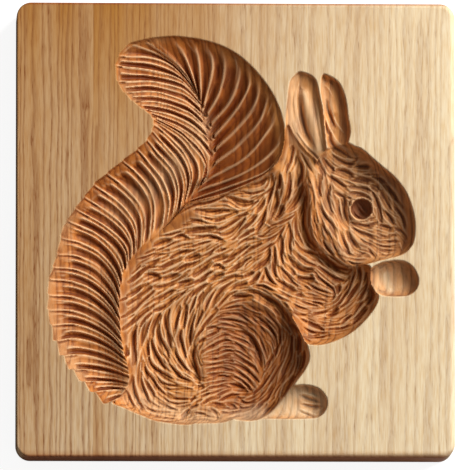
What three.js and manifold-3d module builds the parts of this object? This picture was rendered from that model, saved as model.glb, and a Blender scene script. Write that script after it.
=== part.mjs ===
// Shortbread mould: an edge-glued ash panel with a squirrel carved as a hollow in its face.
// Millimetres. The board lies on its back with the carved face up: +Z leaves the face,
// +Y runs along the grain towards the squirrel's ears, +X towards its nose.
// The origin is the centre of the back. The carving's points are places on the face.
import * as THREE from 'three'
import { mergeVertices } from 'three/addons/utils/BufferGeometryUtils.js'
import Module from 'manifold-3d'

const wasm = await Module()
wasm.setup()

// Driving dimensions of the board
const BOARD_WIDTH = 150
const BOARD_LENGTH = 156
const BOARD_THICKNESS = 20
const CORNER_RADIUS = 5
const EDGE_ROUND = 2
const EDGE_STEPS = 3
const CORNER_STEPS = 6

// The staves, from the squirrel's tail to its nose, and the right edge of each
const STAVES = [
  { name: 'left_edge_stave', right: -48.75, colour: '#bd9161' },
  { name: 'tail_stave', right: -26.25, colour: '#c59b6c' },
  { name: 'spine_stave', right: -5.5, colour: '#cfa878' },
  { name: 'haunch_stave', right: 25, colour: '#d3b07f' },
  { name: 'muzzle_stave', right: 49.25, colour: '#dbbd8d' },
  { name: 'right_edge_stave', right: BOARD_WIDTH / 2, colour: '#e0c598' },
]
const ASH_ROUGHNESS = 0.62

// Depths of the carving below the face, and of the upright walls at its rim
const TAIL_DEPTH = 8
const BODY_DEPTH = 8
const HIP_DEPTH = BODY_DEPTH + 0.6
const CHEST_DEPTH = BODY_DEPTH + 1
const HAUNCH_DEPTH = 11.5
const HEAD_DEPTH = 7.5
const NAPE_DEPTH = HEAD_DEPTH - 0.8
const EAR_DEPTH = 4.6
const EAR_WALL = 2.4
const PAW_DEPTH = 5.5
const PAW_WALL = 1
const EYE_DEPTH = 10.5
const EYE_RADIUS = 3.4
const EYE_SIDES = 20
// How far each cutting shape stands out of the board
const ABOVE_FACE = 1

// The tail's locks: how long one is before it is cut to full depth, how quickly a valley
// falls (1 is straight), the run of a trough's wall, the share of its depth that a trough
// loses again towards its inner end, and from which share of its length on it loses it
const CURL_LOCK = 15
const CURL_FALL = 0.6
const VALLEY_LOCK = 20
const VALLEY_FALL = 0.55
const TROUGH_LOCK = 18
const TROUGH_RUN = 12
const TROUGH_RISE = 0.58
const RISE_FROM = 0.5
// Crests between the locks, and how far each channel bows out past them at the outline
const RIDGE_HEIGHT = 0.9
const RIDGE_RUN = 7
const SCALLOP = 0.7
// How far the locks run on past the stem, to meet those on its other side
const OVERRUN = 2.8
// The brush's locks change from valleys to troughs between these two of the brush's crests
const LAST_VALLEY = 10
const FIRST_TROUGH = 14
// Where the body is between these two depths, its swellings grow from nothing to full size
const SHALLOW = 1.5
const FULLY_DEEP = 4

// Vertices closer than this are one
const SAME_PLACE = 1e-4
// Steps of the curves: places along a lock of fur, round an outline and down a dome
const LOCK_STEPS = 8
const OUTLINE_SPACING = 4
const DOME_STEPS = 4
const SWELLING_STEPS = 14
// The grid of the body's floor, and how far it runs on past the body's outlines
const FLOOR_STEP = 3
const FLOOR_MARGIN = 6

// Outlines of the body's forms on the face
const BACK = [
  [-37.3, -50], [-40.2, -36], [-40.8, -24], [-39.2, -13.5], [-33.2, -4.9], [-20.4, 7.8],
  [-8, 13.8], [3, 17.2], [11.3, 20.4], [18, 19], [26, 14], [32, 2], [30, -16], [20, -30],
  [14, -44], [6, -60], [-2, -65.6], [-10.9, -66.6], [-25, -66.2], [-32.2, -63.9],
  [-38, -61.4], [-42.3, -59.4], [-40, -56],
]
const HIP = [
  [-37.3, -50], [-39.6, -36], [-34, -29], [-26, -24], [-18, -20], [-11.5, -26], [-13, -36],
  [-13.5, -48], [-11, -60], [-14, -66.6], [-25, -66.2], [-32.2, -63.9], [-38, -61.4],
  [-42.3, -59.4], [-40, -56],
]
const HAUNCH = [
  [25.4, -43], [23.5, -36], [20.3, -30.2], [16.4, -25], [10.9, -21.4], [3, -18.5],
  [-6, -22], [-12, -30], [-14, -40], [-13, -52], [-7, -62], [2, -65.6], [10, -64.5],
  [16, -59], [20.8, -52.25], [24.2, -47.5],
]
const CHEST = [
  [8, -16], [14, -6], [17, 8], [22, 18], [28, 14], [34, 0], [38, -9], [46, -12.2],
  [47.2, -18], [49.1, -22.75], [46.9, -28], [41.4, -34], [36.2, -37.3], [29.8, -39.5],
  [24.4, -39.2], [22, -36], [17, -27], [10, -22],
]
const NAPE = [
  [9.4, 19.2], [13, 22], [15.4, 26], [16.5, 30.9], [17, 36], [18.6, 36.5], [21, 32.5],
  [24.6, 28], [28.4, 24], [30, 19], [27, 12], [20, 10],
]
const HEAD = [
  [23, 8], [26, 22], [32, 29], [37.5, 30.4], [41, 29], [43.6, 27.9], [49.1, 23.1],
  [54.7, 18.3], [58.5, 13.2], [60.8, 7.1], [61.6, 2], [61.3, -3], [60.1, -5.8],
  [57.1, -8.5], [50.6, -10.3], [44, -12], [37, -12.5], [30, -5],
]
const NEAR_EAR = [
  [21.8, 54.7], [24.9, 53.9], [27.2, 52.3], [28.2, 50], [29.2, 45], [30.2, 40], [31, 30],
  [31, 22], [24, 20], [19, 27], [17, 36], [17.4, 44], [18.3, 50.8], [20, 53.4],
]
const FAR_EAR = [
  [30, 53.9], [32.3, 53.2], [34.7, 51.7], [36.2, 49.8], [37.5, 46.5], [38.3, 42.8],
  [38.7, 39], [39.4, 33.2], [37, 27], [32, 27], [30.4, 34], [29.8, 42], [28.9, 48], [29, 52],
]
const FORE_PAW = [
  [45, -13.5], [51.6, -10.5], [57.6, -10.4], [61.8, -14], [62.8, -17.5], [61.1, -21.2],
  [56.1, -22.9], [50, -22.4], [45, -20],
]
const HIND_FOOT = [
  [6, -54], [19.8, -53.1], [24.8, -53], [29.8, -55], [31.5, -59.5], [28.8, -64], [24, -64.9],
  [10, -64.9], [2, -64],
]
const EYE = [43.3, 8]

// The body's forms: each one's depth, the drop at its rim and how far in it is deepest
const BODY_FORMS = [
  { places: BACK, depth: BODY_DEPTH, rim: 3.4, run: 20 },
  { places: HIP, depth: HIP_DEPTH, rim: 3.4, run: 14 },
  { places: HAUNCH, depth: HAUNCH_DEPTH, rim: 4, run: 24 },
  { places: CHEST, depth: CHEST_DEPTH, rim: 3, run: 17 },
  { places: NAPE, depth: NAPE_DEPTH, rim: 0.5, run: 12 },
  { places: HEAD, depth: HEAD_DEPTH, rim: 2.6, run: 19 },
]
// Soft troughs along the body, and ridges, whose cut is negative
const SWELLINGS = [
  { places: [[21.5, 17], [22.6, 9], [23, 1], [26, -6], [32, -11], [38, -14.5]], width: 7, cut: 2.4 },
  { places: [[-14.4, -38], [-14.4, -44], [-12.6, -51]], width: 5, cut: 1.3 },
  { places: [[-14.6, -35], [-9, -26.4], [-2, -20.4], [6, -18.4], [12, -19.6], [18, -25.6]], width: 5, cut: -1.4 },
  { places: [[14, 12], [9, 2], [0, -8], [-12, -16]], width: 9, cut: 1.2 },
  { places: [[20, -24], [28, -31], [34, -34]], width: 6, cut: -1 },
  { places: [[-30, -30], [-33, -42], [-34, -54]], width: 6, cut: -0.8 },
]

// Crests between the tail's locks, each from the outline inwards to the tail's stem
const CURL_CRESTS = [
  [[-30.5, 66], [-26.3, 62.3], [-20.2, 57.6], [-15.6, 52.3], [-12.9, 47.2]],
  [[-22, 66.9], [-17.4, 60.7], [-14.7, 53.7], [-12.5, 46.4]],
  [[-15.8, 66.4], [-12.8, 60.7], [-11.9, 51.8], [-11.7, 44.6]],
  [[-10.8, 65.5], [-7.7, 59.3], [-8.2, 51.8], [-10.9, 42.6]],
  [[-5, 63.8], [-3.6, 57], [-5.4, 47.6], [-9.8, 40]],
  [[0.3, 61], [1.5, 54], [-1.7, 44.6], [-8.6, 36.6]],
  [[4.8, 57.3], [4.6, 49.3], [0.1, 41.3], [-7.5, 32.4]],
  [[8.8, 53], [6.8, 43.5], [0, 34.6], [-7, 28]],
  [[12.6, 47.7], [8.5, 38.1], [1.2, 29.6], [-7.2, 23.2]],
  [[15.6, 41.3], [11, 34], [2.9, 24.9], [-8.2, 18.6]],
  [[17.1, 34.5], [12.7, 28.2], [3.5, 20.8], [-11, 15.2]],
  [[16.9, 29], [11.3, 21.2], [0.6, 16.5], [-14, 11.4]],
  [[15.4, 25], [9, 18.6], [-3, 13.2], [-15.6, 10]],
]
const BRUSH_CRESTS = [
  [[-30.5, 66], [-26.3, 62.3], [-20.2, 57.6], [-15.6, 52.3], [-12.9, 47.2]],
  [[-40.2, 60], [-29.5, 60], [-22, 57.3], [-16, 51.2], [-12.8, 46.5]],
  [[-41.4, 56], [-29.5, 54.8], [-20.2, 52.7], [-16.1, 49.9], [-12.3, 45.4]],
  [[-40.5, 50.2], [-29.5, 51.1], [-19.8, 49.5], [-15.6, 47.1], [-11.4, 42.9]],
  [[-37.9, 46.7], [-28.1, 47.6], [-18.8, 45.3], [-14.7, 42.9], [-9.9, 38.7]],
  [[-35.1, 43.9], [-26.3, 43.9], [-17, 41.1], [-12.8, 38.3], [-8.3, 33.3]],
  [[-31.5, 41.2], [-27.2, 40.6], [-20.8, 39.2], [-14.4, 36], [-8.2, 30.6]],
  [[-29.5, 39.8], [-24.6, 37.8], [-18.6, 35.4], [-12.6, 31], [-8.2, 25.4]],
  [[-28.6, 38.4], [-23.5, 36], [-18.2, 33], [-14.4, 29.1], [-11, 25.2], [-9.6, 20.5], [-12.2, 15.4]],
  [[-28.3, 36.6], [-24.2, 34.2], [-18.6, 29.1], [-15.2, 23.5], [-14.4, 18.8], [-16.2, 12]],
  [[-28.8, 34], [-26, 30.9], [-22.9, 27.8], [-18.6, 22.3], [-16.9, 16.2], [-17.8, 9.6]],
  [[-31, 30.4], [-28, 27], [-24.6, 23.5], [-21.6, 19.7], [-19.9, 13.6], [-20.8, 6.6]],
  [[-34.8, 27], [-32, 24.4], [-28.5, 20.5], [-25.5, 16.2], [-23.3, 9.8], [-23.8, 3.6]],
  [[-39.4, 23.4], [-34, 19.5], [-30, 14.6], [-28, 8.6], [-28.6, -0.6]],
  [[-48, 16.4], [-41, 12.3], [-36.2, 7.5], [-33.5, 2], [-33.6, -6.8]],
  [[-54.8, 7.6], [-46.5, 3.6], [-40.5, -0.8], [-37, -5.5], [-36.4, -10.3]],
  [[-59, 1.2], [-50, -1.5], [-43.5, -6.5], [-40, -12], [-38.8, -16.5]],
  [[-61.2, -8.5], [-54, -8.6], [-47, -12], [-42, -18], [-39.9, -24]],
  [[-64.1, -17.8], [-55, -18.2], [-48, -21.5], [-42.8, -26.5], [-39.6, -32]],
  [[-64.3, -28.5], [-56, -28.2], [-49, -30.5], [-43, -34.5], [-38.6, -39.5]],
  [[-61.7, -38.8], [-55, -37.2], [-48, -38.5], [-42, -41.5], [-37.2, -45.5]],
  [[-58.6, -45.2], [-53, -44.4], [-47.5, -45], [-41.5, -46.8], [-36.6, -49]],
  [[-54.5, -50.2], [-50, -49.8], [-45.5, -50], [-41, -50.5], [-36.6, -52]],
  [[-49.8, -55], [-46.5, -54.2], [-43, -53.8], [-39.5, -54], [-37, -54.6]],
  [[-44.3, -60], [-42, -58.7], [-40, -57.7], [-38.4, -57.2], [-37.2, -57]],
]

// A closed body from its vertices and triangles, its faces turned outwards
function solidFrom(vertices, triangles) {
  const geometry = new THREE.BufferGeometry()
  geometry.setAttribute('position', new THREE.Float32BufferAttribute(vertices.flat(), 3))
  geometry.setIndex(triangles.flat())
  return toManifold(geometry)
}

function toManifold(geometry) {
  const bare = geometry.clone()
  bare.deleteAttribute('normal')
  bare.deleteAttribute('uv')
  const merged = mergeVertices(bare, SAME_PLACE)
  const vertProperties = new Float32Array(merged.attributes.position.array)
  const triVerts = new Uint32Array(merged.index.array)
  return new wasm.Manifold(new wasm.Mesh({ numProp: 3, vertProperties, triVerts }))
}

function toGeometry(solid) {
  const mesh = solid.getMesh()
  const geometry = new THREE.BufferGeometry()
  geometry.setAttribute('position', new THREE.BufferAttribute(mesh.vertProperties, 3))
  geometry.setIndex(new THREE.BufferAttribute(mesh.triVerts, 1))
  geometry.computeVertexNormals()
  return geometry
}

// Evenly spaced points of the smooth curve through a few places on the face
function smoothPoints(places, steps, closed) {
  const path = places.map(([x, y]) => new THREE.Vector3(x, y, 0))
  const curve = new THREE.CatmullRomCurve3(path, closed, 'centripetal')
  const points = curve.getSpacedPoints(steps)
  return closed ? points.slice(0, -1) : points
}

function smoothOutline(places) {
  const path = places.map(([x, y]) => new THREE.Vector3(x, y, 0))
  const curve = new THREE.CatmullRomCurve3(path, true, 'centripetal')
  return smoothPoints(places, Math.round(curve.getLength() / OUTLINE_SPACING), true)
}

// A hollow with a smooth outline: a short upright wall, then a dome to its deepest point
function domedHollow(places, depth, wall) {
  const outline = smoothOutline(places)
  const centre = outline.reduce((sum, p) => sum.add(p), new THREE.Vector3())
  centre.divideScalar(outline.length)
  const rings = [
    { scale: 1, z: BOARD_THICKNESS + ABOVE_FACE },
    { scale: 1, z: BOARD_THICKNESS - wall },
  ]
  for (let step = 1; step < DOME_STEPS; step++) {
    const angle = (Math.PI / 2) * (step / DOME_STEPS)
    const z = BOARD_THICKNESS - wall - (depth - wall) * Math.sin(angle)
    rings.push({ scale: Math.cos(angle), z })
  }
  const vertices = rings.flatMap(({ scale, z }) => outline.map((p) => [
    centre.x + (p.x - centre.x) * scale,
    centre.y + (p.y - centre.y) * scale,
    z,
  ]))
  const top = vertices.push([centre.x, centre.y, rings[0].z]) - 1
  const bottom = vertices.push([centre.x, centre.y, BOARD_THICKNESS - depth]) - 1
  const around = outline.length
  const lastRing = (rings.length - 1) * around
  const triangles = []
  for (let i = 0; i < around; i++) {
    const next = (i + 1) % around
    triangles.push([top, i, next])
    triangles.push([bottom, lastRing + next, lastRing + i])
    for (let ring = 0; ring < rings.length - 1; ring++) {
      const upper = ring * around
      const lower = upper + around
      triangles.push([upper + i, lower + i, upper + next])
      triangles.push([upper + next, lower + i, lower + next])
    }
  }
  return solidFrom(vertices, facingOut(outline) ? triangles : triangles.map(turned))
}

// How far a place lies inside an outline: negative outside it
function reachInside(outline, x, y) {
  let nearest = Infinity
  let inside = false
  outline.forEach((a, i) => {
    const b = outline[(i + 1) % outline.length]
    const dx = b.x - a.x
    const dy = b.y - a.y
    const along = ((x - a.x) * dx + (y - a.y) * dy) / (dx * dx + dy * dy)
    const share = THREE.MathUtils.clamp(along, 0, 1)
    nearest = Math.min(nearest, Math.hypot(x - a.x - share * dx, y - a.y - share * dy))
    const crosses = (a.y > y) !== (b.y > y)
    if (crosses && x < a.x + ((y - a.y) * dx) / dy) inside = !inside
  })
  return inside ? nearest : -nearest
}

function bowlDepth({ outline, depth, rim, run }, x, y) {
  const reach = reachInside(outline, x, y)
  if (reach < -FLOOR_MARGIN) return 0
  const rest = 1 - THREE.MathUtils.clamp(reach / run, 0, 1)
  return rim + (depth - rim) * Math.sqrt(1 - rest * rest)
}

function swellingDepth({ line, width, cut }, x, y) {
  const nearest = Math.min(...line.map((p) => Math.hypot(x - p.x, y - p.y)))
  return cut * (0.5 + 0.5 * Math.cos(Math.PI * Math.min(1, (2 * nearest) / width)))
}

// The hollow of the body: its forms' outlines, cut straight down to one modelled floor
function bodyHollow() {
  const forms = BODY_FORMS.map((form) => ({ ...form, outline: smoothOutline(form.places) }))
  const swellings = SWELLINGS.map((swelling) => (
    { ...swelling, line: smoothPoints(swelling.places, SWELLING_STEPS, false) }
  ))
  const depthAt = (x, y) => {
    const bowl = Math.max(...forms.map((form) => bowlDepth(form, x, y)))
    const inner = THREE.MathUtils.smoothstep(bowl, SHALLOW, FULLY_DEEP)
    return bowl + inner * swellings.reduce((sum, s) => sum + swellingDepth(s, x, y), 0)
  }
  const outlines = forms.map(({ outline }) => prism(outline))
  const body = outlines.reduce((whole, outline) => whole.add(outline))
  return body.intersect(modelledFloor(forms.flatMap(({ outline }) => outline), depthAt))
}

function prism(outline) {
  const shape = new THREE.Shape(outline.map(({ x, y }) => new THREE.Vector2(x, y)))
  const height = BOARD_THICKNESS + ABOVE_FACE
  return toManifold(new THREE.ExtrudeGeometry(shape, { depth: height, bevelEnabled: false }))
}

// The space above a floor whose depth is given at each place, over the places' whole box
function modelledFloor(places, depthAt) {
  const box = new THREE.Box3().setFromPoints(places).expandByScalar(FLOOR_MARGIN)
  const across = Math.ceil((box.max.x - box.min.x) / FLOOR_STEP) + 1
  const along = Math.ceil((box.max.y - box.min.y) / FLOOR_STEP) + 1
  const rows = []
  for (let i = 0; i < across; i++) {
    const x = box.min.x + i * FLOOR_STEP
    const row = []
    for (let j = 0; j < along; j++) {
      const y = box.min.y + j * FLOOR_STEP
      row.push([x, y, BOARD_THICKNESS - depthAt(x, y)])
    }
    rows.push(row)
  }
  return hollowOverRows(rows)
}

const turned = ([a, b, c]) => [a, c, b]

// Whether an outline runs anticlockwise seen from above the face
function facingOut(outline) {
  return THREE.ShapeUtils.area(outline) > 0
}

function blend(rowA, rowB, share) {
  return rowA.map((p, i) => p.clone().lerp(rowB[i], share))
}

// Rows of points along the locks: each crest, then the bottom of the channel beside it
function lockRows(crests, channelsBetween) {
  const guides = crests.map((places) => overrun(smoothPoints(places, LOCK_STEPS, false)))
  const rows = []
  for (let i = 0; i < guides.length - 1; i++) {
    for (let half = 0; half < channelsBetween * 2; half++) {
      const share = half / (channelsBetween * 2)
      rows.push({ points: blend(guides[i], guides[i + 1], share), at: i + share, isCrest: half % 2 === 0 })
    }
  }
  rows.push({ points: guides[guides.length - 1], at: guides.length - 1, isCrest: true })
  return rows
}

// A lock run on a little past its inner end, so that it meets the locks across the stem
function overrun(points) {
  const last = points[points.length - 1]
  const onward = last.clone().sub(points[points.length - 2]).setLength(OVERRUN)
  return [...points, last.clone().add(onward)]
}

// Depth of a lock that falls all the way to its inner end
function valleyDepth(travelled, length, fullLock, power) {
  return TAIL_DEPTH * Math.min(1, length / fullLock) * Math.min(1, travelled / length) ** power
}

// Depth of a lock with a round outer wall, that rises again towards its inner end
function troughDepth(travelled, length) {
  const short = 1 - Math.min(1, travelled / TROUGH_RUN)
  const rise = TROUGH_RISE * THREE.MathUtils.smoothstep(travelled / length, RISE_FROM, 1)
  return TAIL_DEPTH * Math.min(1, length / TROUGH_LOCK) * Math.sqrt(1 - short * short) * (1 - rise)
}

function brushDepth(travelled, length, at) {
  const low = THREE.MathUtils.smoothstep(at, LAST_VALLEY, FIRST_TROUGH)
  const valley = valleyDepth(travelled, length, VALLEY_LOCK, VALLEY_FALL)
  return valley * (1 - low) + troughDepth(travelled, length) * low
}

function curlDepth(travelled, length) {
  return valleyDepth(travelled, length, CURL_LOCK, CURL_FALL)
}

// Places on the bottom of a row, its crests standing up and its channels bowed outwards
function rowWithDepths({ points, at, isCrest }, depthAlong) {
  const outward = points[0].clone().sub(points[1]).setLength(SCALLOP)
  const start = isCrest ? points[0] : points[0].clone().add(outward)
  const path = [start, ...points.slice(1)]
  let along = 0
  const travelled = path.map((p, i) => {
    along += i === 0 ? 0 : p.distanceTo(path[i - 1])
    return along
  })
  const length = along - OVERRUN
  return path.map((p, i) => {
    const ridge = isCrest ? RIDGE_HEIGHT * Math.min(1, travelled[i] / RIDGE_RUN) : 0
    const depth = depthAlong(travelled[i], length, at)
    return [p.x, p.y, BOARD_THICKNESS - Math.max(0, depth - ridge)]
  })
}

// The hollow under a fan of locks: ridged below, flat above the face
function lockedHollow(crests, channelsBetween, depthAlong) {
  return hollowOverRows(lockRows(crests, channelsBetween).map((row) => rowWithDepths(row, depthAlong)))
}

// The space between rows of places in the carving and a plane above the face
function hollowOverRows(rows) {
  const across = rows.length
  const along = rows[0].length
  const below = rows.flat()
  const above = below.map(([x, y]) => [x, y, BOARD_THICKNESS + ABOVE_FACE])
  const lift = below.length
  const at = (row, step) => row * along + step
  const triangles = []
  const quad = (a, b, c, d) => triangles.push([a, b, c], [a, c, d])
  for (let r = 0; r < across - 1; r++) {
    for (let s = 0; s < along - 1; s++) {
      quad(at(r, s), at(r, s + 1), at(r + 1, s + 1), at(r + 1, s))
      quad(lift + at(r, s), lift + at(r + 1, s), lift + at(r + 1, s + 1), lift + at(r, s + 1))
    }
    quad(at(r, 0), at(r + 1, 0), lift + at(r + 1, 0), lift + at(r, 0))
    quad(at(r + 1, along - 1), at(r, along - 1), lift + at(r, along - 1), lift + at(r + 1, along - 1))
  }
  for (let s = 0; s < along - 1; s++) {
    quad(at(0, s + 1), at(0, s), lift + at(0, s), lift + at(0, s + 1))
    const last = across - 1
    quad(at(last, s), at(last, s + 1), lift + at(last, s + 1), lift + at(last, s))
  }
  const border = [at(0, 0), at(across - 1, 0), at(across - 1, along - 1), at(0, along - 1)]
  const corners = border.map((i) => new THREE.Vector2(below[i][0], below[i][1]))
  const vertices = [...below, ...above]
  return solidFrom(vertices, facingOut(corners) ? triangles : triangles.map(turned))
}

// The pit that makes the eye's bead on the biscuit
function eyePit() {
  const height = EYE_DEPTH + ABOVE_FACE
  const pit = new THREE.CylinderGeometry(EYE_RADIUS, EYE_RADIUS, height, EYE_SIDES)
  pit.rotateX(Math.PI / 2)
  pit.translate(EYE[0], EYE[1], BOARD_THICKNESS + ABOVE_FACE - height / 2)
  return toManifold(pit)
}

function squirrelHollow() {
  const forms = [
    bodyHollow(),
    domedHollow(NEAR_EAR, EAR_DEPTH, EAR_WALL),
    domedHollow(FAR_EAR, EAR_DEPTH, EAR_WALL),
    domedHollow(FORE_PAW, PAW_DEPTH, PAW_WALL),
    domedHollow(HIND_FOOT, PAW_DEPTH, PAW_WALL),
    lockedHollow(CURL_CRESTS, 1, curlDepth),
    lockedHollow(BRUSH_CRESTS, 2, brushDepth),
    eyePit(),
  ]
  return forms.reduce((whole, form) => whole.add(form))
}

// The whole panel: round corners, and round edges front and back
function panel() {
  const w = BOARD_WIDTH / 2 - EDGE_ROUND
  const l = BOARD_LENGTH / 2 - EDGE_ROUND
  const r = CORNER_RADIUS - EDGE_ROUND
  const shape = new THREE.Shape()
  shape.absarc(w - r, l - r, r, 0, Math.PI / 2)
  shape.absarc(-w + r, l - r, r, Math.PI / 2, Math.PI)
  shape.absarc(-w + r, -l + r, r, Math.PI, Math.PI * 1.5)
  shape.absarc(w - r, -l + r, r, Math.PI * 1.5, Math.PI * 2)
  shape.closePath()
  const geometry = new THREE.ExtrudeGeometry(shape, {
    depth: BOARD_THICKNESS - EDGE_ROUND * 2,
    curveSegments: CORNER_STEPS,
    bevelThickness: EDGE_ROUND,
    bevelSize: EDGE_ROUND,
    bevelSegments: EDGE_STEPS,
  })
  geometry.translate(0, 0, EDGE_ROUND)
  return toManifold(geometry)
}

// One stave: the part of the carved panel between its two glue lines, without the chips
// that fall out where the cuts of two fans of locks meet at the stem
function staveSolid(carved, left, right) {
  const length = BOARD_LENGTH + ABOVE_FACE * 2
  const box = new THREE.BoxGeometry(right - left, length, BOARD_THICKNESS + ABOVE_FACE * 2)
  box.translate((left + right) / 2, 0, BOARD_THICKNESS / 2)
  const bodies = carved.intersect(toManifold(box)).decompose()
  return bodies.sort((a, b) => b.volume() - a.volume())[0]
}

function mould() {
  const group = new THREE.Group()
  const carved = panel().subtract(squirrelHollow())
  let left = -BOARD_WIDTH / 2
  for (const { name, right, colour } of STAVES) {
    const ash = new THREE.MeshStandardMaterial({
      color: colour,
      roughness: ASH_ROUGHNESS,
      metalness: 0,
    })
    const mesh = new THREE.Mesh(toGeometry(staveSolid(carved, left, right)), ash)
    mesh.name = name
    group.add(mesh)
    left = right
  }
  return group
}

export default mould()
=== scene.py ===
import math
from functools import partial

import bmesh
import bpy
import numpy as np
from mathutils import Matrix, Vector


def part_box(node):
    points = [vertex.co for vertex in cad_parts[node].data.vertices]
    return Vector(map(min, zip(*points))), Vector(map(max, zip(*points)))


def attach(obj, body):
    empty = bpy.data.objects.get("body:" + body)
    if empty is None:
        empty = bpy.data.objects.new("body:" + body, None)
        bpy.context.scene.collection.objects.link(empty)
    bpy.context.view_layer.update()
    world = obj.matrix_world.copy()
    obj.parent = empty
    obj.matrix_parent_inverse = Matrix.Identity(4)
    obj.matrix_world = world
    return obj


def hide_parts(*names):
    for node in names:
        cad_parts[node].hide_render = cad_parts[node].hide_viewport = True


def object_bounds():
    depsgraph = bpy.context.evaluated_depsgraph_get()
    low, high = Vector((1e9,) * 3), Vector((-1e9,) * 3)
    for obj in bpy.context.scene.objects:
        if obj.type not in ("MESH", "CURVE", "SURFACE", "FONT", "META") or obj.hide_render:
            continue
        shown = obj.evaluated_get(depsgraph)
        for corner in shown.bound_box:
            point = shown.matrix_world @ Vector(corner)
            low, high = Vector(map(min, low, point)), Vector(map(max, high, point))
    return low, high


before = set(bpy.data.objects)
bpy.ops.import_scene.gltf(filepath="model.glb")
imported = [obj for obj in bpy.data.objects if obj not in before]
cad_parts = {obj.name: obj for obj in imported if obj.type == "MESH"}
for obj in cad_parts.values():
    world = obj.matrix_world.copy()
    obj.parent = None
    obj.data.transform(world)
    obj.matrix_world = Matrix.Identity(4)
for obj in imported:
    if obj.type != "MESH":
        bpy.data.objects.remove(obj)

bl_info = {
    "name": "Shortbread mould",
    "version": (1, 0, 0),
    "blender": (4, 5, 0),
    "location": "3D View > Sidebar > Mould",
    "description": "A glued-up ash board with a squirrel carved into its face, and its studio",
    "category": "Object",
}

MM = 0.001
CAD_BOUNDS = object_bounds()

# The squirrel's outlines on the face, in mm from the face's centre, nose to the right
TAIL_ROOT = [(-25, -66.2), (-32.2, -63.9), (-38, -61.4), (-42.3, -59.4), (-40, -56)]
BACK = [(-37.3, -50), (-40.2, -36), (-40.8, -24), (-39.2, -13.5), (-33.2, -4.9), (-20.4, 7.8),
        (-8, 13.8), (3, 17.2), (11.3, 20.4), (18, 19), (26, 14), (32, 2), (30, -16), (20, -30),
        (14, -44), (6, -60), (-2, -65.6), (-10.9, -66.6), *TAIL_ROOT]
NAPE = [(9.4, 19.2), (13, 22), (15.4, 26), (16.5, 30.9), (17, 36), (18.6, 36.5), (21, 32.5),
        (24.6, 28), (28.4, 24), (30, 19), (27, 12), (20, 10)]
HIP = [(-37.3, -50), (-39.6, -36), (-34, -29), (-26, -24), (-18, -20), (-11.5, -26), (-13, -36),
       (-13.5, -48), (-11, -60), (-14, -66.6), *TAIL_ROOT]
HAUNCH = [(25.4, -43), (23.5, -36), (20.3, -30.2), (16.4, -25), (10.9, -21.4), (3, -18.5),
          (-6, -22), (-12, -30), (-14, -40), (-13, -52), (-7, -62), (2, -65.6), (10, -64.5),
          (16, -59), (20.8, -52.25), (24.2, -47.5)]
CHEST = [(8, -16), (14, -6), (17, 8), (22, 18), (28, 14), (34, 0), (38, -9), (46, -12.2),
         (47.2, -18), (49.1, -22.75), (46.9, -28), (41.4, -34), (36.2, -37.3), (29.8, -39.5),
         (24.4, -39.2), (22, -36), (17, -27), (10, -22)]
HEAD = [(23, 8), (26, 22), (32, 29), (37.5, 30.4), (41, 29), (43.6, 27.9), (49.1, 23.1),
        (54.7, 18.3), (58.5, 13.2), (60.8, 7.1), (61.6, 2), (61.3, -3), (60.1, -5.8), (57.1, -8.5),
        (50.6, -10.3), (44, -12), (37, -12.5), (30, -5)]
NEAR_EAR = [(21.8, 54.7), (24.9, 53.9), (27.2, 52.3), (28.2, 50), (29.2, 45), (30.2, 40),
            (31, 30), (31.4, 23), (28, 21), (22, 26), (17.6, 33), (17, 38), (17.4, 44), (18.3, 50.8),
            (20, 53.4)]
FAR_EAR = [(30, 53.9), (32.3, 53.2), (34.7, 51.7), (36.2, 49.8), (37.5, 46.5), (38.3, 42.8),
           (38.7, 39), (39.4, 33.2), (37, 27), (32, 27), (30.4, 34), (29.8, 42), (28.9, 48),
           (29, 52)]
FORE_PAW = [(45.5, -14), (48.7, -11.3), (51.6, -10.5), (54.6, -10.1), (57.6, -10.4),
            (60.1, -11.8), (61.8, -14), (62.8, -17.2), (61.9, -20.4), (59.1, -22.5),
            (54.5, -22.9), (50, -22.4), (46, -20)]
HIND_FOOT = [(4, -58), (10, -55), (19.8, -53.1), (24.8, -53), (28.5, -54.2), (30.9, -56.8),
             (31.5, -59.5), (30.8, -62), (28.6, -64.2), (24, -64.9), (10, -64.9), (2, -64.9)]
# The eye's middle and radius, the depth of its pit, and the ridge around it: its radius,
# height and width
EYE = (43.3, 8.0)
EYE_RADIUS = 3.5
EYE_PIT = 3.4
EYE_RIDGE = (3.95, 0.9, 0.4)
# Broad swellings of the body: a line, its width and its depth in mm; a negative one stands up
SWELLINGS = [
    ([(21.5, 17), (22.6, 9), (23, 1), (26, -6), (32, -11), (38, -14.5)], 7, 2.4),
    ([(25, 20), (26, 12), (26.2, 4), (27.6, -2), (31, -8), (37, -12)], 4, -1.2),
    ([(-14.4, -38), (-14.4, -44), (-12.6, -51)], 5, 1.3),
    ([(-14.6, -35), (-9, -26.4), (-2, -20.4), (6, -18.4), (12, -19.6), (18, -25.6), (22.6, -33)],
     4, -1.5),
    ([(14, 12), (9, 2), (0, -8), (-12, -16)], 9, 1.2),
    ([(23.6, 46.5), (25.4, 40), (27.2, 34), (28.2, 28)], 7, -2.2),
    ([(32, 50), (32.6, 45), (33.6, 41)], 4, -1.0),
    ([(20, -24), (28, -31), (34, -34)], 6, -1.0),
    ([(36, 12), (36.4, 6), (39.4, 2.6)], 5, 1.2),
    ([(-30, -30), (-33, -42), (-34, -54)], 6, -0.8),
]

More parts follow.
